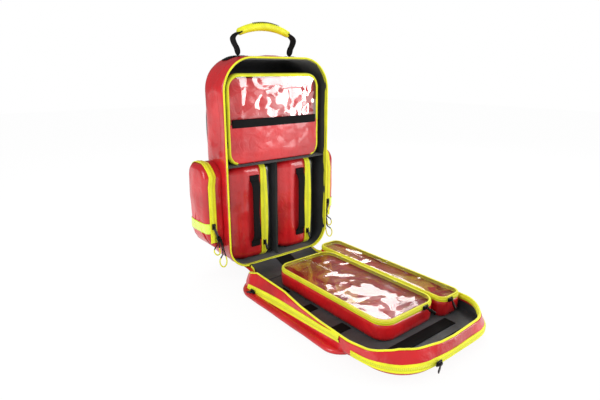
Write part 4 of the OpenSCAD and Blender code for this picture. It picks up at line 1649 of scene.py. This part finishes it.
@dataclass
class CarryHandle:
    """The carry handle: a yellow rubber grip with a sewn seam, on two legs of folded webbing."""

    s: Sizes = field(default_factory=lambda: SIZES)
    length: float = 148.0
    rise: float = 68.0
    radius: float = 10.2
    pin: float = 557.3

    def arch(self, x: Points | float) -> Points | float:
        """Height of the grip over its mean. Args: x: places along it. Returns: heights."""
        return 3.5 - 16 * (x / self.length * 2) ** 2

    def build(self) -> None:
        """Builds the grip, its zigzag seam and the webbing."""
        half, top = self.length / 2, self.s.top + self.rise
        x = np.linspace(-half, half, 60)
        path = np.stack([x, np.full(60, 64.0), top + self.arch(x)], 1)
        share = np.abs(x) / half
        radius = self.radius * (1 - 0.2 * share**2)
        radius[[0, -1]] *= 0.8
        rows = tube(path, radius, 24)
        Piece("grip_sleeve", GRIP, "carry_handle", ["handle_grip"]).solid(rows)
        seam = []
        for k, at in enumerate(np.linspace(-34, 40, 27)):
            lean = 1.5 if k % 2 else -1.5
            r = self.radius * (1 - 0.2 * (at / half) ** 2) + 0.2
            line = np.array([(at + lean * share, 64 - r * math.sin(a), top + self.arch(at) + r * math.cos(a))
                             for share, a in zip(np.linspace(-1, 1, 9), np.radians(np.linspace(-4, 50, 9)))])
            seam.append(tube(line, 0.8, 6))
        Piece("grip_zigzag_seam", BLACK_THREAD, "carry_handle").solid(*seam)
        legs = []
        for side in (-1, 1):
            leg = smooth_path([(side * (half - 6), 64, top - 11), (side * (half + 3), 64, top - 15),
                               (side * (half + 11), 64, top - 20), (side * (half + 15), 64, top - 27),
                               (side * (half + 12), 64, top - 37), (side * (half + 5), 64, top - 49),
                               (side * (half + 2), 64, self.s.top + 3.4)], 50)
            strap = ribbon(leg, (0, 1, 0), 24, 3.0)
            # The foot is rounded about the axis that the handle folds on.
            reach = np.sqrt(np.maximum(11.8**2 - np.minimum(leg[:, 2] - self.pin, 0) ** 2, 1)) / 12
            strap[..., 1] = 64 + (strap[..., 1] - 64) * reach[:, None]
            legs.append(strap)
        Piece("handle_legs", WEBBING, "carry_handle", ["handle_webbing"]).solid(*legs)


def span_of(ring: Points, keep: Points) -> Points:
    """Cuts one run out of a closed ring, starting where it begins.

    Args:
        ring: The ring's points, or normals, in order.
        keep: True for the points to keep.

    Returns:
        The kept run, in order.
    """
    start = int(np.argmax(keep & ~np.roll(keep, 1)))
    return np.roll(ring, -start, 0)[np.roll(keep, -start)]


@dataclass
class UpperModule:
    """The wide module on the shelf: red tray, zip rim, clear window, webbing strip and plain panel."""

    s: Sizes = field(default_factory=lambda: SIZES)
    middle: float = -2.0
    foot: float = 291.3
    width: float = 272.0
    high: float = 211.0
    front: float = 18.0
    back: float = 121.0
    strip: float = 379.9
    bulge: float = 3.6

    @property
    def outline(self) -> Outline:
        """The module's outline."""
        return Outline(self.width, self.high, 30, 34, 240)

    @property
    def plane(self) -> Plane:
        """The plane of its front."""
        return Plane((self.middle, 0, self.foot), (1, 0, 0), (0, 0, 1), (0, 1, 0))

    def face(self, points: Points, lift: float = 0.0, seed: int = 71, rough: float = 1.0) -> Points:
        """Puts points on the cover's gently bulging face.

        Args:
            points: Any points; their Y is replaced.
            lift: Distance off the face, towards the front.
            seed: Which wrinkles.
            rough: How strong the wrinkles are.

        Returns:
            The moved points.
        """
        u = np.clip(1 - ((points[..., 0] - self.middle) / (self.width / 2)) ** 2, 0, 1)
        v = np.clip(1 - ((points[..., 2] - self.foot - self.high / 2) / (self.high / 2)) ** 2, 0, 1)
        depth = self.front - 0.6 - self.bulge * np.minimum(1, 2.2 * u) * np.minimum(1, 2.2 * v)
        wrinkles = creases(points * (1, 0, 1), (44, 40, 34), seed) * 1.1 * rough * np.minimum(1, 5 * u * v)
        made = points.copy()
        made[..., 1] = depth + wrinkles - lift
        return made

    def part(self, low: float, high: float, rows: int) -> Points:
        """Makes a piece of the cover between two heights.

        Args:
            low, high: Heights.
            rows: Rows.

        Returns:
            Points.
        """
        edge = np.linspace(-1, 1, 90)
        reach = self.width / 2 - 2
        made = []
        for z in np.linspace(low, high, rows):
            over_low = np.clip(28 - (z - self.foot - 2), 0, 28)
            over_high = np.clip(32 - (self.foot + self.high - 2 - z), 0, 32)
            take = 28 - math.sqrt(max(28**2 - over_low**2, 0)) + 32 - math.sqrt(max(32**2 - over_high**2, 0))
            made.append([(self.middle + (reach - take) * a, 0, z) for a in edge])
        return np.array(made)

    def build(self) -> None:
        """Builds the module's pieces."""
        profile = [(3.4, self.back - 4), (3.2, 60), (3.0, 26), (1.4, 25), (0.2, 27), (-0.6, 34), (-1.0, 50),
                   (-0.4, 70), (2.5, 92), (9, 110), (16, self.back)]
        rows = rings(self.plane, self.outline, profile)
        rows = np.concatenate([towards_middle(rows[0], 8)[::-1], rows, towards_middle(rows[-1], 7)])
        soft = creases(rows, (70, 50, 60), 73) * 1.6
        soft = soft[8:] * np.clip((rows[8:, :, 1] - 26) / 20, 0, 1)
        rows[8:] += offsets(rows, True)[8:] * soft[..., None]
        rows[..., 1] = np.minimum(rows[..., 1], self.back + 0.5)
        body = Piece("upper_module_tray", RED, "main_bag", ["upper_module_body"]).solid(rows)
        flat, normals = self.outline.sample()
        keep = ~((flat[:, 1] < 14) & (np.abs(flat[:, 0]) < self.width / 2 - 24))
        flat, normals = span_of(flat, keep), span_of(normals, keep)
        path = self.plane.place(flat - normals * 0.2, 24.5)
        band = zip_band(path, np.broadcast_to((0, 1.0, 0), path.shape), self.plane.turn(normals), 14)
        Piece("upper_module_zip_band", TAPE, "main_bag", ["upper_module_zip"], [COIL]).from_grid(
            band, pick=is_coil)
        lip = np.stack([self.plane.place(flat - normals * inset, depth) for inset, depth in
                        ((0.2, 17.8), (1.2, 16.6), (4.0, 16.4), (5.6, 16.9))])
        Piece("upper_cover_lip", TAPE, "upper_cover").from_grid(lip, thick=0.9)
        window = self.face(self.part(self.strip + 8, self.foot + self.high - 2, 50), 0.2, 71, 1.3)
        film = Piece("upper_module_film", FILM, "upper_cover", ["upper_module_window"]).from_grid(window)
        inner = self.face(self.part(self.strip - 4, self.foot + self.high - 8, 40), -7.0, 83, 2.2)
        inner[..., 0] = self.middle + (inner[..., 0] - self.middle) * 0.96
        Piece("upper_module_inner_pocket", RED, "upper_cover").from_grid(inner, thick=0.8)
        panel = self.face(self.part(self.foot + 2, self.strip + 8, 40), 0.2, 79, 0.9)
        Piece("upper_module_front", RED, "upper_cover", ["upper_module_panel"]).from_grid(
            panel, thick=1.2)
        line = np.array([(x, 0, self.strip + 10) for x in np.linspace(-126, 126, 70)]) + (self.middle, 0, 0)
        Piece("upper_module_webbing", WEBBING, "upper_cover", ["upper_module_strip"]).solid(
            ribbon(self.face(line, 1.6, 71, 0.4), (0, 0, 1), 20, 1.6))
        ZipSlider("upper_zip_slider", "upper_module_slider", "upper_slider", (0, 0, 1), (-1, 0, 0),
                  (-0.2, -0.35, -1), 20).make()


@dataclass
class BookModule:
    """A tall module that stands in the bag like a book, with its red spine towards the opening."""

    side: Side
    s: Sizes = field(default_factory=lambda: SIZES)
    width: float = 120.0
    front: float = 24.0
    foot: float = 35.3
    high: float = 251.4
    ring: float = 8.0
    dome: float = 18.0

    @property
    def label(self) -> str:
        """Left or right."""
        return "left" if self.side is Side.LEFT else "right"

    @property
    def start(self) -> float:
        """X of its left face."""
        return -137.0 if self.side is Side.LEFT else 8.0

    def loft(self, profile: Profile) -> Points:
        """Stacks its side view along X.

        Args:
            profile: Inset and distance from its left face.

        Returns:
            Rows.
        """
        deep = 122.7 - self.front
        plane = Plane((self.start, self.front + deep / 2, self.foot), (0, 1, 0), (0, 0, 1), (1, 0, 0))
        return self.inside(rings(plane, Outline(deep, self.high, 22, 22, 220), profile))

    def inside(self, points: Points) -> Points:
        """Keeps points clear of the bag's rounded corners.

        Args:
            points: The points.

        Returns:
            The moved points.
        """
        made = points.copy()
        over = np.clip(np.abs(made[..., 0]) - 104, 0, 44)
        made[..., 1] = np.minimum(made[..., 1], 121.5 - (44.7 - np.sqrt(44.7**2 - over**2)))
        over = np.clip(np.abs(made[..., 0]) - 98, 0, 52)
        floor = self.foot + 0.1 + 52.7 - np.sqrt(52.7**2 - over**2)
        made[..., 2] = np.clip(made[..., 2], floor, self.foot + self.high - 0.1)
        return made

    def build(self) -> None:
        """Builds the module's pieces."""
        body, seed = f"module_{self.label}", 90 + self.side.value * 5
        far = self.width - self.ring - self.dome
        rows = self.loft([(20, 0.4), (14, 1.6), (10.5, 5), (8, 12), (5.4, 20), (3, 28), (0.7, 35), (0, 38),
                          (0, 44), (0, 51), (0, 58), (0, 65), (0, 72), (0, 80), (0.4, far - 3)])
        rows = np.concatenate([towards_middle(rows[0], 7)[::-1], rows, towards_middle(rows[-1], 2)])
        out = offsets(rows, True)
        spine = np.exp(-(((rows[..., 0] - self.start - 34) / 3.5) ** 2)) * (rows[..., 1] < self.front + 12)
        soft = creases(rows, (40, 50, 60), seed) * 2.0 - spine * 1.6
        rows = rows + out * np.minimum(soft, 1.6)[..., None]
        rows[..., 1] = np.maximum(rows[..., 1], self.front - 2.4)
        piece = Piece(f"module_{self.label}_pouch", RED, body, [f"module_{self.label}_body"]).solid(
            self.inside(rows))
        band = self.loft([(-h * 0.9, far + self.ring / 2 + share * 16) for share, h in ZIP_SECTION])
        swell = np.sin(math.pi * np.clip((band[..., 2] - self.foot) / self.high, 0, 1))
        middle = self.start + far + self.ring / 2
        band[..., 0] = middle + (band[..., 0] - middle) * (1 + 0.42 * swell) + 2.5 * swell - 1
        Piece(f"module_{self.label}_zip_band", TAPE, body, [f"module_{self.label}_zip"],
              [COIL]).from_grid(band, closed=True, pick=is_coil)
        start = far + self.ring
        rows = self.loft([(1.2, start - 3), (0.6, start), (0.4, start + 4), (0.4, start + 8),
                          (0.8, start + 12), (2.2, start + 15.4), (5.5, start + 17.4)])
        rows = np.concatenate([rows, towards_middle(rows[-1], 10, 1.0, (1, 0, 0))])
        rows = rows + offsets(rows, True) * (creases(rows, (24, 30, 34), seed + 3) * 1.3)[..., None]
        rows[..., 0] = np.minimum(rows[..., 0], self.start + self.width + 1.5)
        Piece(f"module_{self.label}_side", GLOSS, body, [f"module_{self.label}_cover"]).solid(
            self.inside(rows))
        self.handle(body, self.start + 70)
        ZipSlider(f"module_{self.label}_zip_slider", f"module_{self.label}_slider",
                  f"module_{self.label}_slider", (0, 0, 1), (0, -1, 0), (0.1, -0.25, -1), 20).make()

    def handle(self, body: str, x: float) -> None:
        """Builds the upright webbing handle.

        Args:
            body: Its body.
            x: Its middle.
        """
        y, low, high = self.front - 2.2, self.foot + 50, self.s.shelf - 42
        path = smooth_path([(x, y, low - 13), (x, y, low - 2), (x, y - 5.5, low + 6), (x, y - 8.6, low + 22),
                            (x - 1.5, y - 9, (low + high) / 2), (x, y - 8.6, high - 22),
                            (x, y - 5.5, high - 6), (x, y, high + 2), (x, y, high + 13)], 80)
        wide = np.interp(np.linspace(0, 1, 80), (0, 0.1, 0.2, 0.5, 0.8, 0.9, 1),
                         (1, 1, 0.86, 0.74, 0.86, 1, 1))
        strap = ribbon(path, (1, 0, 0), self.s.webbing, 2.2)
        gather = np.stack([wide, np.ones(80), np.ones(80)], 1)[:, None]
        strap = path[:, None] + (strap - path[:, None]) * gather
        patch = [ribbon(np.array([(x, y - 0.6, z) for z in np.linspace(a, b, 8)]), (1, 0, 0), 27, 2.6)
                 for a, b in ((low - 14, low + 1), (high - 1, high + 14))]
        Piece(f"module_{self.label}_grab_handle", WEBBING, body,
              [f"module_{self.label}_handle"]).solid(strap, *patch)
        seams = []
        for at in (low - 12, low - 1, high + 1, high + 12):
            seams += stitch_line(np.array([(x + k, y - 2.0, at) for k in np.linspace(-11, 11, 12)]),
                                 (0, -1, 0))
        Piece(f"module_{self.label}_handle_stitches", BLACK_THREAD, body).from_grids(
            seams, closed=True)


@dataclass
class FrontPanel:
    """The folded-down front: red tray, lining, piping, flat pockets underneath, zip bands and hook strips."""

    s: Sizes = field(default_factory=lambda: SIZES)
    # Distance along the outline, from the hinge's middle towards the right, with how far the rim leans in.
    lean: Profile = ((0, 0), (563, 2), (600, 10), (626, 14), (690, 12), (765, 8), (800, 10), (841, 20),
                     (880, 27), (905, 27), (935, 20), (966, 4), (1010, -3.5), (1090, -1.5), (1155, 5),
                     (1225, 18), (1340, 22), (1400, 10), (1530, 0))
    # The same distance with the height of the rim.
    rise: Profile = ((0, 21), (98, 21), (108, 25), (150, 40), (190, 49), (400, 50), (900, 50), (1000, 45),
                     (1100, 47), (1340, 49), (1380, 40), (1421, 25), (1432, 21), (1530, 21))

    slope: float = math.radians(4.2)

    def run(self) -> Points:
        """Returns the distance of each point of the outline from the middle of the hinge."""
        flat, _ = self.s.outline.sample()
        return np.concatenate([[0], np.cumsum(np.linalg.norm(np.diff(flat, axis=0), axis=1))])

    def along(self, profile: Profile) -> Points:
        """Reads a value for each point of the outline.

        Args:
            profile: Distances and values.

        Returns:
            Values.
        """
        at, value = np.array(profile, float).T
        return np.interp(self.run(), at, value)

    def wall(self, levels: Sequence[float], inset: float, foot: float) -> Points:
        """Lofts the panel's wall.

        Args:
            levels: Shares of the wall's height.
            inset: How far inside the outline it stands.
            foot: Height of its foot.

        Returns:
            Rows of points.
        """
        flat, normals = self.s.outline.sample()
        lean, rise = self.along(self.lean), self.along(self.rise)
        tuck = self.along(((0, 3), (530, 3), (600, 17), (960, 17), (1010, 9), (1040, 3), (1530, 3)))
        rows = []
        for level in levels:
            z = foot + (rise - foot) * level
            under = tuck * np.clip((22 - z) / 12, 0, 1) ** 1.5
            leant = lean * np.clip((z - 12) / 38, 0, 1) ** 1.3
            inwards = inset + leant + (under if inset < 2 else under * 0.6)
            rows.append(self.s.panel.place(flat - normals * inwards[:, None], z))
        return np.array(rows)

    def shell(self) -> Points:
        """Builds the red tray and returns its wall's points."""
        rows = self.wall(np.linspace(0, 1, 16), 0.0, self.s.panel_floor + 0.2)
        out = offsets(rows, True)
        free = np.clip((self.s.panel.origin[1] - rows[..., 1] - 10) / 40, 0, 1)
        away = np.clip((rows[..., 2] - 12) / 8, 0, 1) * np.clip((49 - rows[..., 2]) / 8, 0.15, 1) * free
        rows = rows + out * ((np.maximum(creases(rows, (60, 60, 26), 101), -0.4) * 2.0) * away)[..., None]
        full = np.concatenate([towards_middle(rows[0], 8)[::-1], rows])
        Piece("panel_tray", RED, "front_panel", ["panel_shell"]).from_grid(
            full, closed=True, thick=1.3)
        return rows

    def lining(self) -> None:
        """Builds the tray's lining: coloured wall above, dark tape below and a grey floor."""
        rows = self.wall((0.97, 0.86, 0.74, 0.62, 0.5, 0.38, 0.26, 0.14, 0.05, 0.0), 4.7, self.s.tray + 0.6)
        rows[..., 1] = np.minimum(rows[..., 1], -29.0)
        wall = rows.shape[0]
        rows = np.concatenate([rows, towards_middle(rows[-1], 12)])
        sag = soft_noise(rows, (60, 60, 60), 103) * 0.5
        rows[wall:, :, 2] = np.clip(rows[wall:, :, 2] + sag[wall:], self.s.tray + 0.1, self.s.tray + 1.4)
        Piece("panel_lining_cloth", RED, "front_panel", ["panel_lining"],
              [CLOTH, GREY_CLOTH], slot="dark_lining").from_grid(rows, closed=True, thick=0.8,
                                             pick=lambda i, _: 0 if i < 3 else 1 if i < wall else 2)

    def rim(self) -> None:
        """Builds the piping on the rim and the half zip inside it."""
        flat, normals = self.s.outline.sample()
        run = self.run()
        keep = (run > 112) & (run < run[-1] - 108)
        top = self.wall((1.0,), 2.2, self.s.panel_floor)[0]
        path = top[keep] + (0, 0, 0.2)
        Piece("panel_rim_piping", TAPE, "front_panel", ["panel_piping"]).solid(tube(path, 2.5, 10))
        inwards = -self.s.panel.turn(normals)[keep]
        grid = np.stack([path + inwards * a + (0, 0, b) for a, b in
                         ((2.0, -0.6), (2.9, -1.6), (3.5, -3.0), (4.1, -4.2), (4.2, -5.6), (3.6, -7.0),
                          (3.2, -9.0))])
        Piece("panel_half_zip", TAPE, "front_panel", more=[COIL]).from_grid(
            grid, pick=lambda row, _: 1 if row in (2, 3) else 0)

    def flat_pockets(self, wall: Points) -> None:
        """Builds the flat pockets and their zip bands.

        Args:
            wall: The tray wall's points.
        """
        low = Plane((0, -30, 0), (1, 0, 0), (0, -1, 0), (0, 0, 1))
        outline = Outline(340, 374, 66, 44, 260)
        rows = rings(low, outline, ((22, 0.2), (10, 0.4), (4, 2.0), (1, 5), (0, 8.5), (1.4, 11.6), (5, 13.6),
                                    (12, 14.4), (18, 14.4)))
        rows = rows + offsets(rows, True) * (creases(rows, (60, 60, 22), 107) * 0.9)[..., None]
        rows[..., 2] = np.clip(rows[..., 2], 0.05, 14.5)
        rows = np.concatenate([towards_middle(rows[0], 8)[::-1], rows, towards_middle(rows[-1], 3)])
        pocket = Piece("lower_pocket", RED, "front_panel", ["lower_flat_pocket"]).solid(rows)
        high = Plane((0, -404, 0), (1, 0, 0), (0, -1, 0), (0, 0, 1))
        rows = rings(high, Outline(268, 112, 20, 66, 200),
                     ((16, 0.2), (9, 1.2), (4, 4), (1, 7.5), (0, 9.6), (8, 10.6)))
        rows[..., 2] += np.clip(soft_noise(rows, (50, 50, 50), 109) * 0.5, -0.1, 0.5)
        rows = np.concatenate([towards_middle(rows[0], 6)[::-1], rows, towards_middle(rows[-1], 3)])
        pocket = Piece("top_pocket", RED, "front_panel", ["top_flat_pocket"]).solid(rows)
        self.pocket_zips(wall)

    def pocket_zips(self, wall: Points) -> None:
        """Builds the zip bands on the outside of the wall.

        Args:
            wall: The tray wall's points.
        """
        bands = []
        for side in (-1, 1):
            line = np.array([(side * 158, y, 18.3 - (102 + y) * math.tan(self.slope))
                             for y in np.linspace(-70, -396, 120)])
            bands.append(self.drop(line, np.tile((side * 1.0, 0, 0), (120, 1)), (0, 0, 1), 16, wall))
        flat, normals = self.s.outline.sample()
        run = self.run()
        keep = (run > 566) & (run < 1006)
        line = self.s.panel.place(flat[keep] + normals[keep] * 2, 26)
        out = self.s.panel.turn(normals[keep])
        bands.append(self.drop(line, out, (0, 0, 1), 12.5, wall))
        Piece("flat_pocket_zip_bands", TAPE, "front_panel", ["flat_pocket_zips"],
              [COIL]).from_grids(bands, pick=is_coil)

    def drop(self, line: Points, out: Points, across: Sequence[float], width: float,
             wall: Points) -> Points:
        """Lays a zip band on a wall.

        Args:
            line: The band's middle line.
            out: Direction off the wall, one for each point.
            across: Direction over the band.
            width: The band's width.
            wall: The wall's points.

        Returns:
            The band's points.
        """
        made = []
        for share, height in ZIP_SECTION:
            row = lay_on(line + np.array(across, float) * share * width, out, wall, 0.9, closed=True)
            smooth = np.pad(row, ((4, 4), (0, 0)), mode="edge")
            row = np.stack([np.convolve(smooth[:, k], np.ones(9) / 9, "valid") for k in range(3)], 1)
            made.append(row + out * height)
        return np.stack(made)

    def hooks(self) -> None:
        """Builds the hook strips on the tray's floor."""
        z, grids = self.s.tray + 1.9, []
        for y in (-141.5, -241.5, -341.5):
            grids.append(np.array([(x, y, z) for x in np.linspace(-140, -90, 14)]))
        for y in (-459.5, -503.5):
            grids.append(np.array([(x, y, z) for x in np.linspace(-90, 90, 30)]))
        for x0, x1, y in ((-66, 58, -400), (-66, 58, -130), (94, 137, -411), (94, 137, -89)):
            grids.append(np.array([(x, y, z - 0.6) for x in np.linspace(x0, x1, 24)]))
        strips = [ribbon(g + (0, 0, 1) * soft_noise(g, 30, 113)[:, None] * 0.3, (0, 1, 0), 26, 1.6)
                  for g in grids]
        Piece("hook_and_loop_strips", WEBBING, "front_panel", ["hook_strips"]).solid(*strips)

    def build(self) -> None:
        """Builds the panel's pieces."""
        wall = self.shell()
        self.lining()
        self.rim()
        self.flat_pockets(wall)
        self.hooks()
        ZipSlider("lower_pocket_zip_slider", "lower_pocket_slider", "lower_pocket_slider", (0, 1, 0),
                  (-1, 0, 0), (-0.15, 0.8, -0.4), 18).make()
        ZipSlider("top_pocket_zip_slider", "top_pocket_slider", "top_pocket_slider", (1, 0, 0), (0, -1, 0),
                  (-0.8, -0.3, -0.3), 18).make()


@dataclass
class Pouch:
    """A pouch on the panel: red walls, a zip band round the top and a wrinkled clear cover."""

    label: str
    left: float
    hinge_end: float
    width: float
    length: float
    radius: float
    slider_hang: tuple[float, float, float]
    s: Sizes = field(default_factory=lambda: SIZES)
    band: float = 8.8

    @property
    def plane(self) -> Plane:
        """The plane of the tray's floor, at the pouch's hinge end."""
        return Plane((self.left + self.width / 2, self.hinge_end, 0), (1, 0, 0), (0, -1, 0), (0, 0, 1))

    @property
    def outline(self) -> Outline:
        """The pouch's plan."""
        return Outline(self.width, self.length, self.radius, self.radius, 240)

    def build(self) -> None:
        """Builds the pouch's pieces."""
        seed, foot, top = int(self.width), self.s.pouch_floor, self.s.cover
        profile = [(3.6, foot + 2.5), (3.2, 30), (3.0, top - self.band), (1.2, top - self.band - 0.4),
                   (0.0, top - self.band - 2), (-0.3, 42), (-0.5, 34), (-0.2, 26), (0.8, 20), (4, foot + 0.3)]
        rows = rings(self.plane, self.outline, profile)
        rows[4:9] += offsets(rows, True)[4:9] * (creases(rows[4:9], (34, 34, 20), seed) * 0.9)[..., None]
        rows = np.concatenate([towards_middle(rows[0], 10)[::-1], rows, towards_middle(rows[-1], 6)])
        pouch = Piece(f"{self.label}_pouch", RED, "front_panel", [f"{self.label}_pouch_body"]).solid(rows)
        inner = rings(self.plane, self.outline, ((4.4, top - 12), (6, top - 9)))
        inner = np.concatenate([inner, towards_middle(inner[-1], 30)])
        inner[1:, :, 2] += creases(inner[1:], (60, 44, 40), seed + 31) * 2.6 - 1.0
        Piece(f"{self.label}_pouch_inner_flap", RED, "front_panel").from_grid(
            inner, closed=True, caps=False, thick=0.8)
        flat, normals = self.outline.sample()
        path = self.plane.place(flat - normals * 1.5, top - self.band / 2)
        band = zip_band(path, np.broadcast_to((0, 0, 1.0), path.shape), self.plane.turn(normals), self.band,
                        0.7)
        Piece(f"{self.label}_pouch_zip_band", TAPE, "front_panel", [f"{self.label}_pouch_zip"],
              [COIL]).from_grid(band, closed=True, pick=is_coil)
        cover, side = f"{self.label}_cover", 1 if self.label == "large" else -1
        lip = np.stack([self.plane.place(flat - normals * inset, z) for inset, z in
                        ((1.7, top + 0.5), (2.2, top + 1.1), (4.2, top + 1.2), (5.2, top + 0.7))])
        Piece(f"{self.label}_cover_lip", TAPE, cover).from_grid(lip, closed=True, thick=0.7)
        rows = rings(self.plane, self.outline, ((4.2, top + 0.9),))
        rows = np.concatenate([rows, towards_middle(rows[0], 44)])
        share = np.linspace(0, 1, rows.shape[0])[:, None]
        rise = np.minimum(1, share * 6)
        lift = creases(rows, (46, 34, 30), seed + 7) * 1.1 + soft_noise(rows, (80, 60, 60), seed + side) * 0.6
        rows[..., 2] = np.clip(rows[..., 2] + lift * rise + 0.3 * rise, top + 0.1, top + 2.6)
        film = Piece(f"{self.label}_pouch_film", FILM, cover, [f"{self.label}_pouch_cover"]).solid(rows)
        ZipSlider(f"{self.label}_pouch_zip_slider", f"{self.label}_pouch_slider", f"{self.label}_slider",
                  (1, 0, 0), (0, -1, 0), self.slider_hang, 20).make()


@dataclass
class Studio:
    """A pale floor, soft lights, a white room and the camera."""

    camera_at: tuple[float, float, float] = (-0.6703, -0.7082, 0.5112)
    pitch: float = 90 - 15.83
    heading: float = -38.37
    lens: float = 27.46
    room: float = 0.86
    mirror: float = 0.12

    def light(self, name: str, place: Sequence[float], size: float, watts: float,
              aim: Sequence[float]) -> None:
        """Adds a soft square light.

        Args:
            name: Its name.
            place: Where it hangs, in metres.
            size: Its side, in metres.
            watts: Its power.
            aim: The point it shines at.
        """
        data = bpy.data.lights.new(name, "AREA")
        data.shape, data.size, data.energy = "SQUARE", size, watts
        lamp = bpy.data.objects.new(name, data)
        lamp.location = place
        lamp.rotation_euler = (Vector(aim) - Vector(place)).to_track_quat("-Z", "Y").to_euler()
        bpy.context.scene.collection.objects.link(lamp)

    def build(self) -> None:
        """Builds the studio."""
        scene = bpy.context.scene
        world = bpy.data.worlds.new("white_room")
        scene.world, world.use_nodes = world, True
        tree = world.node_tree
        tree.nodes.clear()
        # Matt surfaces get a bright even room, and glossy ones a dim room in which only the softboxes shine.
        matt = add(tree, "Mix", {0: add(tree, "LightPath", out="Is Camera Ray"), 2: self.room, 3: 1.0})
        strength = add(tree, "Mix", {0: add(tree, "LightPath", out="Is Glossy Ray"), 2: matt, 3: self.mirror})
        room = add(tree, "Background", {"Color": linear(Tint.FLOOR), "Strength": strength})
        add(tree, "OutputWorld", {"Surface": room})
        self.light("softbox_front_right", (1.25, -1.35, 0.95), 0.75, 13, (0, 0.15, 0.3))
        self.light("softbox_overhead", (1.2, 1.1, 1.45), 0.8, 16, (0, -0.1, 0.1))
        self.light("low_card_right", (1.35, -1.35, 0.3), 0.4, 4, (0, 0.2, 0.2))
        self.light("softbox_left", (-1.9, -0.25, 0.9), 1.0, 15, (0, 0.1, 0.25))
        data = bpy.data.cameras.new("camera")
        data.lens, data.sensor_width, data.clip_start = self.lens, 36, 0.01
        camera = bpy.data.objects.new("camera", data)
        camera.location = self.camera_at
        camera.rotation_euler = (math.radians(self.pitch), 0, math.radians(self.heading))
        scene.collection.objects.link(camera)
        scene.camera = camera
        scene.view_settings.view_transform = "Standard"
        self.floor()

    def floor(self) -> None:
        """Builds the floor."""
        mesh = bpy.data.meshes.new("studio_floor")
        mesh.from_pydata([(x, y, -0.0006) for x, y in ((-6, -6), (6, -6), (6, 6), (-6, 6))], [],
                         [(0, 1, 2, 3)])
        obj = bpy.data.objects.new("studio_floor", mesh)
        made = bpy.data.materials.new("studio_paper")
        made.use_nodes = True
        tree = made.node_tree
        tree.nodes.clear()
        paper = add(tree, "BsdfDiffuse", {"Color": linear(Tint.PAPER)})
        glow = add(tree, "Emission", {"Color": linear(Tint.FLOOR), "Strength": 1.02})
        seen = add(tree, "Math", {0: add(tree, "LightPath", out="Is Camera Ray"), 1: 0.9},
                   operation="MULTIPLY")
        add(tree, "OutputMaterial", {"Surface": add(tree, "MixShader", {0: seen, 1: paper, 2: glow})})
        mesh.materials.append(made)
        bpy.context.scene.collection.objects.link(obj)


def main() -> None:
    """Builds the scene."""
    logging.basicConfig(level=logging.INFO, format="%(message)s")
    Studio().build()
    pockets = [SidePocket(side) for side in Side]
    for pocket in pockets:
        pocket.loops()
    MainBag().build()
    Harness().build()
    for pocket in pockets:
        pocket.build()
    UpperModule().build()
    for side in Side:
        BookModule(side).build()
    CarryHandle().build()
    FrontPanel().build()
    Pouch("large", -86, -95, 164, 340, 32, (0.5, -0.6, -0.5)).build()
    Pouch("small", 82, -54, 67, 392, 20, (-0.2, -0.6, -0.7)).build()


if __name__ == "__main__":
    main()
